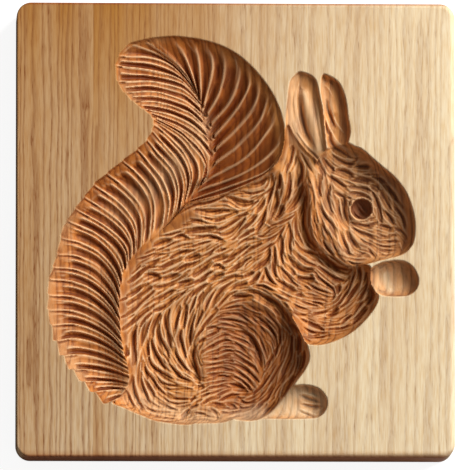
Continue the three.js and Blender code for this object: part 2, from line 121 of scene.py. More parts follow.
# Guide crests between the tail's locks, from the outline in to the tail's stem, and where
# each lock begins, counted in guide crests
CURL_CRESTS = [
    [(-30.5, 66), (-26.3, 62.3), (-20.2, 57.6), (-15.6, 52.3), (-12.9, 47.2)],
    [(-22, 66.9), (-17.4, 60.7), (-14.7, 53.7), (-12.5, 46.4)],
    [(-15.8, 66.4), (-12.8, 60.7), (-11.9, 51.8), (-11.7, 44.6)],
    [(-10.8, 65.5), (-7.7, 59.3), (-8.2, 51.8), (-10.9, 42.6)],
    [(-5, 63.8), (-3.6, 57), (-5.4, 47.6), (-9.8, 40)],
    [(0.3, 61), (1.5, 54), (-1.7, 44.6), (-8.6, 36.6)],
    [(4.8, 57.3), (4.6, 49.3), (0.1, 41.3), (-7.5, 32.4)],
    [(8.8, 53), (6.8, 43.5), (0, 34.6), (-7, 28)],
    [(12.6, 47.7), (8.5, 38.1), (1.2, 29.6), (-7.2, 23.2)],
    [(15.6, 41.3), (11, 34), (2.9, 24.9), (-8.2, 18.6)],
    [(17.1, 34.5), (12.7, 28.2), (3.5, 20.8), (-11, 15.2)],
    [(16.9, 29), (11.3, 21.2), (0.6, 16.5), (-14, 11.4)],
    [(15.4, 25), (9, 18.6), (-3, 13.2), (-15.6, 10)],
]
CURL_CRESTS_AT = [0, 0.95, 1.95, 2.93, 3.97, 4.97, 5.97, 6.97, 8.0, 9.0, 10.2, 11.1, 12.0]
BRUSH_CRESTS = [
    CURL_CRESTS[0],
    [(-36.6, 64.2), (-28.6, 61.6), (-21.3, 57.6), (-15.9, 51.8), (-12.9, 46.9)],
    [(-40.2, 60), (-29.5, 60), (-22, 57.3), (-16, 51.2), (-12.8, 46.5)],
    [(-41.4, 56), (-29.5, 54.8), (-20.2, 52.7), (-16.1, 49.9), (-12.3, 45.4)],
    [(-40.5, 50.2), (-29.5, 51.1), (-19.8, 49.5), (-15.6, 47.1), (-11.4, 42.9)],
    [(-37.9, 46.7), (-28.1, 47.6), (-18.8, 45.3), (-14.7, 42.9), (-9.9, 38.7)],
    [(-35.1, 43.9), (-26.3, 43.9), (-17, 41.1), (-12.8, 38.3), (-8.3, 33.3)],
    [(-31.5, 41.2), (-27.2, 40.6), (-20.8, 39.2), (-14.4, 36), (-8.2, 30.6)],
    [(-29.5, 39.8), (-24.6, 37.8), (-18.6, 35.4), (-12.6, 31), (-8.2, 25.4)],
    [(-28.6, 38.4), (-23.5, 36), (-18.2, 33), (-14.4, 29.1), (-11, 25.2), (-9.6, 20.5),
     (-12.2, 15.4)],
    [(-28.3, 36.6), (-24.2, 34.2), (-18.6, 29.1), (-15.2, 23.5), (-14.4, 18.8), (-16.2, 12)],
    [(-28.8, 34), (-26, 30.9), (-22.9, 27.8), (-18.6, 22.3), (-16.9, 16.2), (-17.8, 9.6)],
    [(-31, 30.4), (-28, 27), (-24.6, 23.5), (-21.6, 19.7), (-19.9, 13.6), (-20.8, 6.6)],
    [(-34.8, 27), (-32, 24.4), (-28.5, 20.5), (-25.5, 16.2), (-23.3, 9.8), (-23.8, 3.6)],
    [(-39.4, 23.4), (-34, 19.5), (-30, 14.6), (-28, 8.6), (-28.6, -0.6)],
    [(-48, 16.4), (-41, 12.3), (-36.2, 7.5), (-33.5, 2), (-33.6, -6.8)],
    [(-54.8, 7.6), (-46.5, 3.6), (-40.5, -0.8), (-37, -5.5), (-36.4, -10.3)],
    [(-59, 1.2), (-50, -1.5), (-43.5, -6.5), (-40, -12), (-38.8, -16.5)],
    [(-61.2, -8.5), (-54, -8.6), (-47, -12), (-42, -18), (-39.9, -24)],
    [(-64.1, -17.8), (-55, -18.2), (-48, -21.5), (-42.8, -26.5), (-39.6, -32)],
    [(-64.3, -28.5), (-56, -28.2), (-49, -30.5), (-43, -34.5), (-38.6, -39.5)],
    [(-61.7, -38.8), (-55, -37.2), (-48, -38.5), (-42, -41.5), (-37.2, -45.5)],
    [(-58.6, -45.2), (-53, -44.4), (-47.5, -45), (-41.5, -46.8), (-36.6, -49)],
    [(-54.5, -50.2), (-50, -49.8), (-45.5, -50), (-41, -50.5), (-36.6, -52)],
    [(-49.8, -55), (-46.5, -54.2), (-43, -53.8), (-39.5, -54), (-37, -54.6)],
    [(-44.3, -60), (-42, -58.7), (-40, -57.7), (-38.4, -57.2), (-37.2, -57)],
]
BRUSH_CRESTS_AT = [
    0, 2.1, 2.9, 3.9, 4.9, 5.9, 6.9, 8, 9.08, 10.12, 10.95, 11.8, 12.76, 13.9, 14.57, 15.1,
    15.58, 16.05, 16.7, 17.42, 18, 18.48, 18.92, 19.44, 19.92, 20.42, 20.97, 21.73, 22.6, 23.43,
    24.2, 25,
]
# At some locks of the brush: its number, how far in from the outline it is smooth, how much
# its end steps out, both in mm, and where across it its second crest lies
LOCK_ENDS = [
    (0, 2, 0.6, 0.5), (8, 2, 0.6, 0.5), (10, 4.5, 0.35, 0.4), (18, 4.5, 0.35, 0.35),
    (20, 7, 0.4, 0.35), (25, 7, 0.6, 0.4), (26, 4, 1.6, 0.55), (31, 3, 1.6, 0.6),
]
# How far the guide crests are run on past the outline and past the stem, in mm, so that the
# outline can be cut in steps
LOCK_LEAD = 1.0
LOCK_OVERRUN = 2.0
# The floor under the locks: how long in mm a lock is before it is cut to full depth, and how
# quickly it falls (1 is straight). Low in the brush the valleys turn to troughs, between these
# locks: each has a wall of some mm and rises again by a share of its depth
VALLEY_LOCK = 20
VALLEY_FALL = 0.55
CURL_LOCK = 15
CURL_FALL = 0.6
TROUGH_LOCK = 18
TROUGH_WALL = 12
TROUGH_RISE = 0.58
TROUGHS_FROM = (10, 15)
# Grooves are cut to full depth in locks this wide, in mm
WIDE_LOCK = 3.6
# The shallow groove's depth as a share of the deep one's, and their mean, kept at the floor
SHALLOW_GROOVE = 0.4
MEAN_GROOVE = 0.45
# The fine hairs along the locks: their depth, their grains' length in mm, and how many lie
# across a lock of the brush and of the curl
LOCK_HAIR = 0.4
LOCK_HAIR_GRAIN = 7
BRUSH_HAIRS = 5
CURL_HAIRS = 2.6

# Single gouge cuts of the fur, each through a few points in mm, by region and by size
HEAD_HAIRS = {"fine": [
    [(23.2, 28.5), (24.6, 26.3)], [(22.9, 26.5), (24.8, 23.1), (26.8, 19.9)],
    [(24.8, 19), (25.9, 16.1), (26.7, 12.9), (27, 9.7)], [(31.1, 10.3), (32.1, 7.8), (33.7, 5.2)],
    [(27, 7.1), (27.2, 4.2), (28, 1.7), (28.9, -0.6), (29.6, -2.2)],
    [(29.6, 2.6), (30.8, 1), (32.1, -0.9), (33.4, -2.5)],
    [(32.1, -1.2), (33.4, -3.1), (35, -7.3), (36.6, -8.9)],
    [(30.2, -2.2), (30.8, -4.4), (32.4, -6.6), (34, -8.6), (35.3, -9.8)],
    [(34, 13.8), (35.9, 12.9), (38.2, 11.9), (40.4, 11.9)],
    [(43.2, -2.5), (44.5, -3.4), (46.4, -4.1), (48, -5)], [(41, -7.3), (42.3, -7.9), (44.2, -7.3)],
    [(45.8, -6), (47.1, -7.6), (48, -8.9)], [(49.6, -1.2), (51.5, -1.6), (53.4, -1.4)],
    [(50.3, -3), (52.5, -3.2), (54.6, -2.8)], [(50, -4.6), (52.5, -5), (55, -4.6)],
    [(49.8, -6.2), (52.4, -6.5), (54.8, -6.2)], [(49.4, -7.8), (51.6, -8.1), (53.8, -7.7)],
    [(39, -8.9), (41.6, -9.6), (44.6, -9.5)], [(38.4, -10.2), (41, -11), (44, -11.2)],
], "deep": [
    [(26.2, 26.2), (27.8, 24.1), (29.6, 21.8), (30.8, 19.9)],
    [(32.7, 19), (35, 17.7), (37.2, 16.1), (38.3, 15.1)],
    [(31.3, 33), (32.7, 30.5), (34.3, 28.6), (37.2, 26.3)],
    [(39.7, 15.9), (42.3, 15.4), (45.2, 14.8), (46.4, 14.2)],
    [(35.6, 10.3), (35.8, 7.4), (36.2, 5.5), (37.2, 3.3), (38.5, 2)],
    [(32.3, 15.4), (31.8, 12.2), (32.4, 9), (33.4, 6.2)],
    [(29.2, 19), (28.8, 16.1), (28.9, 13.2), (29.2, 12.2)],
    [(28.8, 9.4), (29.9, 6.8), (31.8, 4.2), (33.4, 2), (34.3, -0.6), (34.8, -2.2)],
    [(36.9, -0.6), (37.4, -2.8), (38.2, -5), (39.1, -7.3)],
    [(38.8, -0.2), (39.7, -2.2), (41.3, -4.1), (42.6, -5.4)],
    [(40.7, 1.4), (43.2, 0.1), (45.5, -0.9), (47.4, -1.8)],
    [(47.4, 13.5), (48.7, 11), (49.9, 6.5), (50.3, 3.3)],
    [(40.4, 3.3), (42.9, 2.5), (45.5, 2.3), (48.7, 3.6)], [(51.8, 16), (54.4, 13.2), (55.7, 11)],
    [(50.3, 14.2), (51.8, 11), (53.4, 8.4)], [(51.6, 7), (53.6, 4.6), (54.4, 2.6)],
    [(55, 8.4), (57.2, 5.6), (58.4, 2)], [(49.9, 2.3), (52.2, 1.7), (53.8, 1)],
], "broad": [
    [(35, 21.2), (37.2, 21.2), (39.1, 20.2), (40.4, 19.3)],
    [(40.4, 18), (42.9, 18.2), (45.5, 18), (47.4, 17.7)],
    [(37.7, 11.6), (37.5, 8.4), (38, 5.2), (38.8, 3.3)],
    [(24, 12), (23.7, 7), (23.8, 2.5), (25.5, -2.1), (28, -5.1)],
], "crest": [
    [(46.4, 13.5), (47.7, 11), (48.7, 7.8), (49.4, 4.2)], [(50.6, 15.8), (52.8, 12.9), (55, 10)],
    [(50.3, 6.2), (53.1, 3)], [(53.8, 8.1), (56.6, 5.2), (57.6, 1.7)], [(47, 1.1), (48.4, 0.9)],
    [(55, -1.5), (56.3, -3.8), (57.3, -6.3)], [(33, 20), (35.5, 19.2), (38, 17.8), (43, 16.8), (46, 16.2)],
    [(34.2, 13), (36, 11.4), (36.6, 8), (37, 5)], [(39.2, 1.9), (40.6, 0.6)],
    [(33.3, 24.9), (35.2, 23.6), (37.8, 22.8)],
    [(24, 19), (25.6, 13), (25.9, 6), (26.8, 0), (29, -5.4), (32, -9.6), (37, -12.4)],
]}
NECK_HAIRS = {"fine": [
    [(21.7, 7.2), (20, 5.5), (17.4, 4.2), (14.9, 3), (12.3, 2.5)], [(9.4, 12.4), (6.8, 9.8), (4.3, 7.7)],
    [(17, 2.1), (15.7, 0.4), (13.2, -1.7), (9.8, -3.4)], [(9, 14.1), (5.6, 13.2), (2.6, 13.7)],
    [(15.1, -0.8), (14, -3.4), (10.2, -5.5), (6.8, -7.2)], [(6.2, -2), (3.4, -2.6), (1.4, -4)],
    [(11.6, 0.4), (9.4, -1.2), (7.6, -1.6)], [(7.4, -9.2), (4.6, -10.2), (3.4, -12)],
], "deep": [
    [(12.8, 18.8), (13.2, 16.2), (12.3, 13.7), (11.3, 10.2)],
    [(14.2, 14.1), (14.5, 10.7), (13.6, 7.7), (12.8, 5.1)], [(19.8, 28.6), (19.1, 25.2), (17.8, 20.9)],
    [(18.7, 20.1), (18.9, 17.1), (18.3, 13.2), (16.4, 9.8)],
    [(10.6, 8.1), (9.8, 5.1), (8.9, 2.5), (7.3, 0)], [(7.3, 5.6), (4.7, 3), (1.7, 0.4), (-0.8, -2.5)],
    [(3.9, 6.4), (0.5, 4.3), (-3.3, 1.7), (-7.2, 0)],
    [(13.6, -5.5), (13.8, -8.9), (13.6, -12.3), (14, -15.3)],
    [(15.9, -1.7), (16.2, -4.7), (15.9, -7.7), (16.6, -10.6)],
    [(18.5, 2.6), (19.1, -0.8), (18.7, -4.2), (19.1, -7.2)],
    [(21.2, 6.4), (21.2, 3), (21.7, -0.4), (23.4, -4.2)], [(20.8, -3.2), (23, -5.8), (27, -7.2)],
    [(15.3, -11.9), (17.4, -14.1), (19.1, -16.2), (21.2, -18.3)],
    [(10.2, -12.3), (11.5, -15.3), (13.2, -17.5), (15.7, -18.7)],
    [(8.1, -14.1), (6.8, -16.2), (4.7, -17.9)], [(4.7, -4.7), (1.7, -6.4), (-1.6, -8.9), (-4.2, -10.6)],
    [(5.1, -8.9), (2.2, -10.6), (-0.4, -12.8), (-2.9, -14.1)],
    [(2.6, -15.3), (-0.4, -15.3), (-3.8, -16.6), (-6.7, -17.5)],
], "broad": [
    [(21.7, 25.2), (22.7, 22.2), (22.5, 19.2), (21.2, 15.8)],
    [(23.1, 15.4), (22.1, 12.4), (20.4, 9.4), (18.3, 7.2)],
    [(11.9, -6.4), (11.5, -8.9), (9.8, -10.6), (6.4, -12.8)],
    [(18.3, -8.5), (20.8, -11.1), (23.4, -12.8), (26.7, -12.3)],
], "crest": [
    [(-2.4, 9.4), (-0.4, 8.2), (2.6, 7.7)], [(6.4, -1), (9.2, -2)], [(10.4, 3.2), (12.4, 2)],
    [(19.5, -1.7), (21.2, -4.7), (23.8, -6.8), (27.2, -7.7)], [(12.6, -6.4), (12.2, -10), (12.4, -13)],
    [(17.6, -7.6), (19.4, -9.6), (21.4, -12)],
]}
BACK_HAIRS = {"fine": [
    [(-18.8, 6.3), (-15.5, 8.2), (-11.5, 9.5), (-7.2, 10.7), (-2.3, 12.8)],
    [(-15.2, 3.7), (-12.2, 3.7), (-8.9, 2.7)], [(-27.4, -7), (-24.8, -5.7), (-22.1, -4.3), (-20.5, -3.5)],
    [(-28.4, -8.7), (-26.4, -7.8), (-23.5, -7.7)], [(-18.2, -5.5), (-14.8, -5), (-11.5, -4), (-8.2, -3)],
    [(-6.2, -6.7), (-4.2, -6), (-2.3, -5.3)], [(-39.4, -24), (-36.7, -22.7)], [(-39, -29.7), (-37, -28.7)],
    [(-19.5, -22), (-17.5, -20.8)], [(-20.5, -19.3), (-18.2, -19), (-16.8, -19)],
    [(-6.9, -18.3), (-4.6, -17)], [(-26, -1.6), (-22, -1), (-18, 0)],
    [(-33.4, -9.6), (-30.6, -8.8), (-28, -7.6)], [(-11, -8), (-8.6, -7.4), (-7, -5.4)],
], "deep": [
    [(-15.8, 10.5), (-12.2, 12.3), (-8.6, 13.7), (-3, 15.5), (4, 18)],
    [(-20.1, -1.7), (-18.2, -1.3), (-16.2, -2)],
    [(-36.4, -17.5), (-34.1, -15.7), (-31.4, -13.3), (-28.8, -11.7), (-25.8, -9.5)],
    [(-25.4, -12.5), (-22.8, -11), (-20.1, -9.7), (-17.8, -8.5)],
    [(-22.1, -9), (-19.5, -7.3), (-16.8, -6.7), (-14.5, -6.3)],
    [(-13.2, -1.7), (-8.9, -1.3), (-6.2, -2), (-3.9, -3)],
    [(-20.8, -13.3), (-18.2, -12.3), (-15.8, -11.3), (-12.2, -10)],
    [(-36.7, -22.2), (-34.4, -20.8), (-32.1, -19.3), (-30.1, -18)],
    [(-27.4, -19), (-24.5, -18.7), (-21.5, -17.3), (-18.8, -16), (-16.8, -14.7)],
    [(-13.5, -17.3), (-11.5, -16.3), (-9.2, -14.3), (-7.9, -13.7)],
    [(-37, -28.8), (-34.7, -26.7), (-32.1, -24), (-29.4, -21.7), (-27.8, -20.3)],
    [(-27.1, -23.5), (-24.8, -22.3), (-22.8, -21), (-20.8, -20)],
    [(-15.2, -21.7), (-13.2, -20.3), (-10.9, -18.7), (-8.9, -17.7)],
    [(-38.4, -33.7), (-35.7, -31.7), (-33.4, -29.7), (-31.1, -27.7), (-28.1, -25.7)],
    [(-27.8, -27), (-25.4, -26.3), (-23.5, -25), (-21.5, -23.3), (-19.5, -22)],
    [(-7.6, -11.7), (-5.6, -11.3), (-3.9, -12.3)],
], "broad": [
    [(-30.4, -14.5), (-28.1, -14.8), (-25.8, -15.5)],
    [(-13.9, -14.7), (-12.2, -13.3), (-10.2, -12), (-8.2, -10.3)],
], "crest": [
    [(-25.8, -1.6), (-22.1, -0.2), (-18.8, 0.8), (-15.8, 1.5)],
    [(-35.2, -15.4), (-32.6, -13.2), (-30.4, -12)], [(-29.6, -12.8), (-27.4, -12.6), (-25.4, -11.6)],
    [(-35, -20), (-33, -18.4), (-31, -17)], [(-27.6, -23), (-25, -21.4), (-22.4, -20)],
    [(-13.8, -14), (-11.8, -12.6), (-10.2, -11.2)],
]}
HIP_HAIRS = {"fine": [
    [(-26, -39.1), (-25.1, -41.1), (-23.7, -42.8)],
    [(-24.8, -53.1), (-22.6, -54), (-19.8, -54), (-14.8, -54)],
    [(-22.8, -56.2), (-21.2, -57.2), (-18.4, -57.3), (-15.6, -57.3)],
    [(-24.2, -56.6), (-22.8, -58.2), (-19.8, -59), (-16.7, -58.6)],
    [(-27, -57.6), (-25.6, -58.7), (-23.9, -59.3), (-22, -60.4), (-19.8, -61)],
    [(-30.1, -60.7), (-28.1, -61.5), (-25.3, -62.1), (-22.6, -62.1)],
    [(-30.3, -62.6), (-28.1, -63.3), (-25.3, -63.8), (-21, -64.3)],
    [(-25.3, -51.6), (-22, -52.6), (-18.4, -52.6)], [(-13.4, -22.6), (-14, -24.6), (-15.6, -28)],
    [(-27, -65), (-24, -65.4), (-20.6, -65.2)], [(-16, -62.8), (-12.6, -62.2), (-9, -63.4)],
    [(-17, -65), (-12, -64.6), (-6, -65.2)],
], "deep": [
    [(-33.9, -32.7), (-34.6, -35.2), (-34.7, -37.7), (-34.4, -40.5), (-34.2, -43.3), (-34.5, -45.6)],
    [(-28.4, -30.1), (-29.8, -32.4), (-30.9, -35.2), (-31.6, -38), (-32.4, -40.5)],
    [(-26.2, -31.9), (-26, -34.1), (-25.3, -36.9), (-24.2, -39.1), (-23.1, -41.1), (-22.6, -43.3)],
    [(-22.6, -27.1), (-23.4, -29.6), (-23.4, -31.9), (-23, -34.1), (-22.3, -36.6), (-21.9, -39.1)],
    [(-18.8, -26), (-19.5, -28.5), (-20.1, -31), (-20.8, -33.8)],
    [(-28.7, -36.9), (-28.1, -39.1), (-27, -41.7), (-25.3, -44.5), (-23.9, -47)],
    [(-29.5, -43.3), (-28.7, -45.3), (-27, -47), (-25.3, -48.1), (-23.1, -49.5), (-21.2, -50.6)],
    [(-31, -45), (-30.6, -47.3), (-29.2, -49.5), (-27.6, -51.5), (-26.4, -53.7)],
    [(-32.1, -48.4), (-32.3, -50.6), (-31.7, -53.1), (-30.6, -55.6), (-29.5, -58.2), (-28.7, -59.6)],
    [(-34.9, -50.3), (-34.9, -52.9), (-34.2, -55.6), (-33.1, -58.2), (-31.7, -61.2)],
    [(-18.4, -34.1), (-18.7, -35.8), (-18.1, -38.3), (-17.3, -40.8), (-16.7, -43.3)],
    [(-20.5, -40), (-19.8, -42.5), (-18.4, -44.7), (-17, -46.7), (-15.3, -48.4)],
    [(-21.7, -46.1), (-20.3, -48.1), (-18.4, -49.8), (-16.2, -50.9), (-13.9, -52)],
    [(-13.9, -29.1), (-14.9, -32.2), (-15.2, -35.2), (-15.6, -38), (-15.9, -40)],
    [(-18.1, -64.3), (-17, -62.9), (-15.9, -61.5)],
], "broad": [
    [(-13.8, -39.7), (-14.2, -42.5), (-13.7, -45.3), (-12.8, -48.1), (-12, -50.9)],
], "crest": [
    [(-33.4, -33), (-33.4, -37), (-32.8, -42), (-33.4, -47.4)],
    [(-27.6, -38), (-26, -41.6), (-23, -45), (-21, -48.6)], [(-22, -46), (-20.4, -49)],
    [(-20.6, -36), (-20.9, -39), (-19, -43)], [(-26, -52.4), (-24, -54.6), (-20, -55.6)],
]}
HAUNCH_HAIRS = {"fine": [
    [(-8.8, -42.3), (-6.7, -41.5), (-4.7, -39.6), (-2.3, -39.2), (0.2, -39.9)],
    [(-9.5, -43), (-7.1, -42), (-4.3, -40.8), (-1.6, -40.4), (0.5, -41.6)],
    [(-11.2, -43.7), (-8.4, -43.7), (-5.7, -43.4), (-2.9, -43), (-0.9, -43.4)],
    [(-11.5, -45.8), (-9.1, -45.5), (-5.7, -45.1), (-2.3, -44.8), (-0.2, -45.5)],
    [(-9.8, -52.7), (-7.1, -51.7), (-4.3, -51), (-1.6, -51), (0.5, -52)],
    [(-8.8, -53.8), (-6.4, -53.1), (-4, -52.7), (-1.6, -53.1), (0.2, -53.8)],
    [(-11.5, -55.2), (-9.1, -54.1)], [(-12.2, -56.6), (-10.2, -55.9), (-7.8, -55.2), (-5, -54.4)],
    [(-5, -26.7), (-2.3, -26), (0.2, -25.4), (2.6, -25.2)],
    [(-2.9, -28.1), (-0.5, -27.8), (1.9, -28.1), (4.3, -29.9)],
    [(-5, -29.9), (-2.3, -29.9), (0.5, -30.2), (3.2, -31.2), (6, -33.3)],
    [(-4.7, -31.3), (-2.3, -31.6), (0.2, -32.3)], [(-4, -33.3), (-1.6, -33.7), (1.2, -34.4)],
    [(-4.7, -35.4), (-2.3, -35), (0.2, -36.5)], [(0.2, -40.3), (2.2, -41.3), (3.9, -42.3), (5.7, -43.4)],
    [(1.4, -56.6), (4, -58.6), (8, -57)], [(0.4, -58.8), (3, -60.4), (6.4, -59.2)],
    [(-5, -62), (-1.4, -62.2), (3, -60.8)], [(-8.6, -60.6), (-6.4, -62.6), (-6, -65)],
    [(-3.2, -64.4), (0, -63.6), (4.4, -62.6)],
], "rib": [
    [(-6.7, -20.2), (-8.3, -22.6), (-9.5, -25), (-10.3, -27.1)],
    [(0.2, -20.2), (-2.3, -21.9), (-4, -23.6), (-5.7, -25.7)],
    [(-6, -26.8), (-8.8, -30.2), (-10.2, -31.9), (-12.2, -34.7), (-13.9, -36.4)],
    [(-12, -37.8), (-10.3, -36.8)], [(-9.1, -35.8), (-6.7, -34.4), (-5.3, -33.3)],
    [(-9.5, -33), (-7.4, -32.6), (-5.3, -33)],
    [(-11.5, -41.6), (-9.5, -39.9), (-7.4, -38.9), (-5, -37.5), (-2.9, -36.8), (-0.9, -37.5)],
    [(-9.5, -47.9), (-7.4, -47), (-4.7, -46.5), (-1.9, -46.9), (-0.2, -47.2)],
    [(-9.1, -48.9), (-6.7, -48.6), (-4, -47.9)],
    [(-9.5, -51), (-7.4, -50.1), (-5.7, -49.3), (-3.3, -49.3), (-0.9, -50)], [(-13.9, -56.9), (-15, -57.9)],
    [(-11.5, -59.3), (-10.2, -58.3), (-8.4, -57.2), (-6.7, -56.6)],
    [(-4.3, -57.6), (-2.9, -56.6), (-0.9, -55.9), (1.2, -55.6)], [(-2.3, -59), (-0.9, -59.3), (0.2, -60)],
    [(-0.9, -35.4), (1.9, -36.5), (4.3, -37.5), (6, -39.6), (7.4, -42)],
    [(0.2, -37.5), (2.6, -39.6), (4.3, -41)],
    [(0.2, -42.3), (2.6, -43.4), (5, -44.8), (7, -46.2), (8.1, -48.2)],
    [(0.5, -45.1), (2.9, -46.2), (5.3, -47.9), (6.7, -49.6), (8.1, -51)],
    [(0.2, -47.2), (2.6, -48.6), (4.6, -50.3), (6, -52)],
    [(0.5, -49.6), (2.9, -51), (4.6, -52.7), (6, -54.5)],
    [(9, -30), (12, -32.4), (14, -36), (14.6, -40), (13, -44)],
    [(15.6, -33.4), (15.2, -38), (13, -42.6), (10, -46.4)],
    [(19.6, -36), (19.4, -42), (17.6, -47), (14.8, -52)], [(11.6, -49.4), (9, -52.8), (6, -56)],
    [(13, -53.6), (11, -57), (7.4, -60)],
], "broad": [
    [(5, -20.5), (8.1, -21.2), (11.5, -22.9), (14.2, -24.7), (16.6, -27.4), (18.7, -30.6)],
    [(-0.2, -52), (1.9, -52.7), (3.6, -53.8)],
    [(0.5, -34), (3.2, -34.4), (5.3, -35.4), (6.7, -37.5), (8.1, -40.3), (8.7, -43.4), (9.4, -46.5)],
    [(0.2, -21.8), (3, -22), (6, -21.6)],
], "crest": [
    [(6.3, -23.3), (8.4, -24.7), (11.5, -26), (13.6, -28.1), (14.9, -30.9), (17.7, -33.7), (21.1, -36.4)],
    [(2.9, -25), (5.3, -26.7), (8.7, -27.8), (11.5, -29.9), (13.6, -31.2)],
    [(3.9, -28.8), (6.7, -30.9), (10.1, -32.6), (13.2, -35), (15.6, -38.2)],
    [(0.8, -31.2), (2.6, -31.9), (5.3, -33.3)],
    [(6.3, -32.3), (8.1, -35.4), (8.7, -38.5), (9.8, -41.6), (10.5, -44.7), (10.1, -47.2)],
    [(10.5, -36.8), (12.2, -38.5), (13.2, -40.9), (13.6, -43.4), (12.5, -45.5)],
    [(17, -34), (17.3, -36.1), (16, -38.9), (14.6, -42), (13.2, -44.8), (11.1, -47.2),
     (9.4, -49.6), (8.1, -52)], [(18.4, -41), (17.3, -43.7), (16, -46.5), (14.9, -49.3), (14.2, -52)],
    [(12.5, -51.7), (11.1, -54.1), (9.4, -56.2), (6.7, -58.3)],
    [(21.1, -41), (21.1, -44.4), (20.1, -47.9), (18, -50.7), (16, -52.7), (14.2, -55.2), (13.9, -57.6)],
    [(12.2, -56.9), (10.1, -59), (7.7, -61.4)], [(6, -55.9), (3.9, -56.9), (1.5, -57.8)],
    [(8.1, -58.3), (6, -60.7), (3.6, -62.1), (0.5, -63.5), (-2.3, -64.9)], [(-4.6, -56.4), (-3, -55.4)],
    [(-12.4, -36.6), (-11, -35.6)], [(-11, -40.4), (-9.8, -39.4)], [(-9.4, -48.4), (-6.8, -47.8)],
    [(-5.2, -61.6), (-2, -60.8)],
]}
CHEST_HAIRS = {"fine": [
    [(22.4, -17.8), (23.8, -18.4), (26, -19.6)], [(26, -18.1), (27.7, -19.2), (29.4, -19.8), (31.3, -20.4)],
    [(31.3, -7.7), (33.3, -8.8), (35.2, -10.2), (37.2, -11.4)],
    [(25.4, -22.1), (27.7, -22.6), (29.9, -22.9), (31.6, -23.7)],
    [(22.6, -23.5), (24.6, -24.3), (27.1, -24.9), (28.8, -25.4)],
    [(20.1, -24.9), (21.8, -25.7), (24, -26.3), (25.4, -26.8)],
    [(19, -27.1), (21.2, -28.3), (23.8, -28.5), (25.4, -27.7)],
    [(29.1, -29.7), (31.6, -29.4), (34.1, -28.5)],
    [(32.7, -30.5), (34.4, -30.8), (36.1, -29.9), (38.3, -28.5)],
    [(31.3, -31.9), (33.8, -31.6), (36.1, -31.4)], [(23.8, -32.8), (25.4, -33.9), (27.7, -34.7)],
    [(31.9, -33.6), (34.4, -33.3), (37.2, -32.8), (39.5, -31.4)],
    [(14.6, -19.8), (17.4, -21.6), (20.4, -22.8)], [(13.4, -21.2), (16, -22.8), (18.8, -24)],
    [(22.6, -30), (25, -30.8)], [(26.8, -24), (29, -24.2), (30.6, -25.4)],
    [(25, -35.6), (28.8, -36.2), (33, -35.2)], [(17.4, -7.4), (18.7, -8.3), (20.1, -9.1)],
], "rib": [
    [(27.7, -13.6), (28.8, -15.3), (30.5, -16.7), (32.2, -18.1), (34.1, -20.1), (34.1, -21.8),
     (32.7, -23.5)], [(21, -21.2), (23.2, -21.5)],
    [(26.3, -28.5), (28.8, -27.7), (31.6, -26.8), (33.8, -25.7), (35.8, -24), (37.2, -22.1),
     (38.6, -20.1), (39.7, -17.8), (40.6, -15.6), (41.1, -13.9)],
    [(32.7, -25), (35, -23.4), (36.6, -21.4), (37.8, -19.6), (38.9, -17.4), (39.6, -15.2)],
    [(42.8, -12.5), (43, -14.5), (42.5, -16.7)],
    [(35.2, -25.7), (36.9, -25.2), (38.6, -23.5), (40.3, -20.9), (41.7, -18.7), (42.5, -16.7)],
    [(40.3, -27.7), (41.7, -25.7), (43.4, -24)],
    [(42, -23.5), (43.4, -21.8), (44.8, -19.5), (45.3, -17.3), (45.3, -14.5)],
    [(36.6, -31.1), (38, -29.9), (39.7, -28.5)],
    [(25.4, -30.8), (26.8, -31.6), (28.8, -32.5), (30.2, -33.6)], [(27.2, -35.6), (28.4, -35.4)],
], "broad": [
    [(21.2, -15.3), (23.2, -15.9), (25.4, -15.9), (26.3, -15.3)],
    [(28.8, -11.9), (31, -13.3), (33.3, -15), (35.2, -16.1), (37.8, -16.4)],
    [(29.9, -7.7), (31.6, -9.4), (33.8, -11.1), (36.1, -12.2), (38.3, -12.5)],
    [(32.2, -28.5), (33.8, -27.4), (35, -25.7)], [(46.7, -19.5), (47, -21.8), (45.6, -24.6)],
], "crest": [
    [(26.3, -13.6), (27.7, -15.9), (28.8, -17.5), (29.9, -18.7)],
    [(43.7, -12.5), (44.2, -14.5), (43.4, -17.8), (42.3, -21.8)],
    [(41.1, -12.5), (42, -14.2), (41.1, -16.7), (39.5, -20.1), (37.2, -23.5), (35.2, -26.6)],
    [(45.6, -20.1), (44.2, -22.6), (42.5, -24.6), (40.6, -27.4), (39.5, -29.7)],
    [(38, -19.5), (36.4, -21.8), (34.4, -23.5), (32.4, -25.2)],
    [(28.5, -7.1), (29.4, -8.8), (31.4, -11.6), (35, -14)], [(28.2, -12.5), (29.9, -13.9)],
    [(24.6, -18.1), (26, -19)], [(17.3, -24), (18.7, -25.4), (20.6, -28.6), (23.5, -31.1)],
    [(26, -28.9), (28.8, -29.2)], [(29.4, -34.3), (30.8, -34)], [(37.4, -31.2), (38.6, -30.6)],
]}
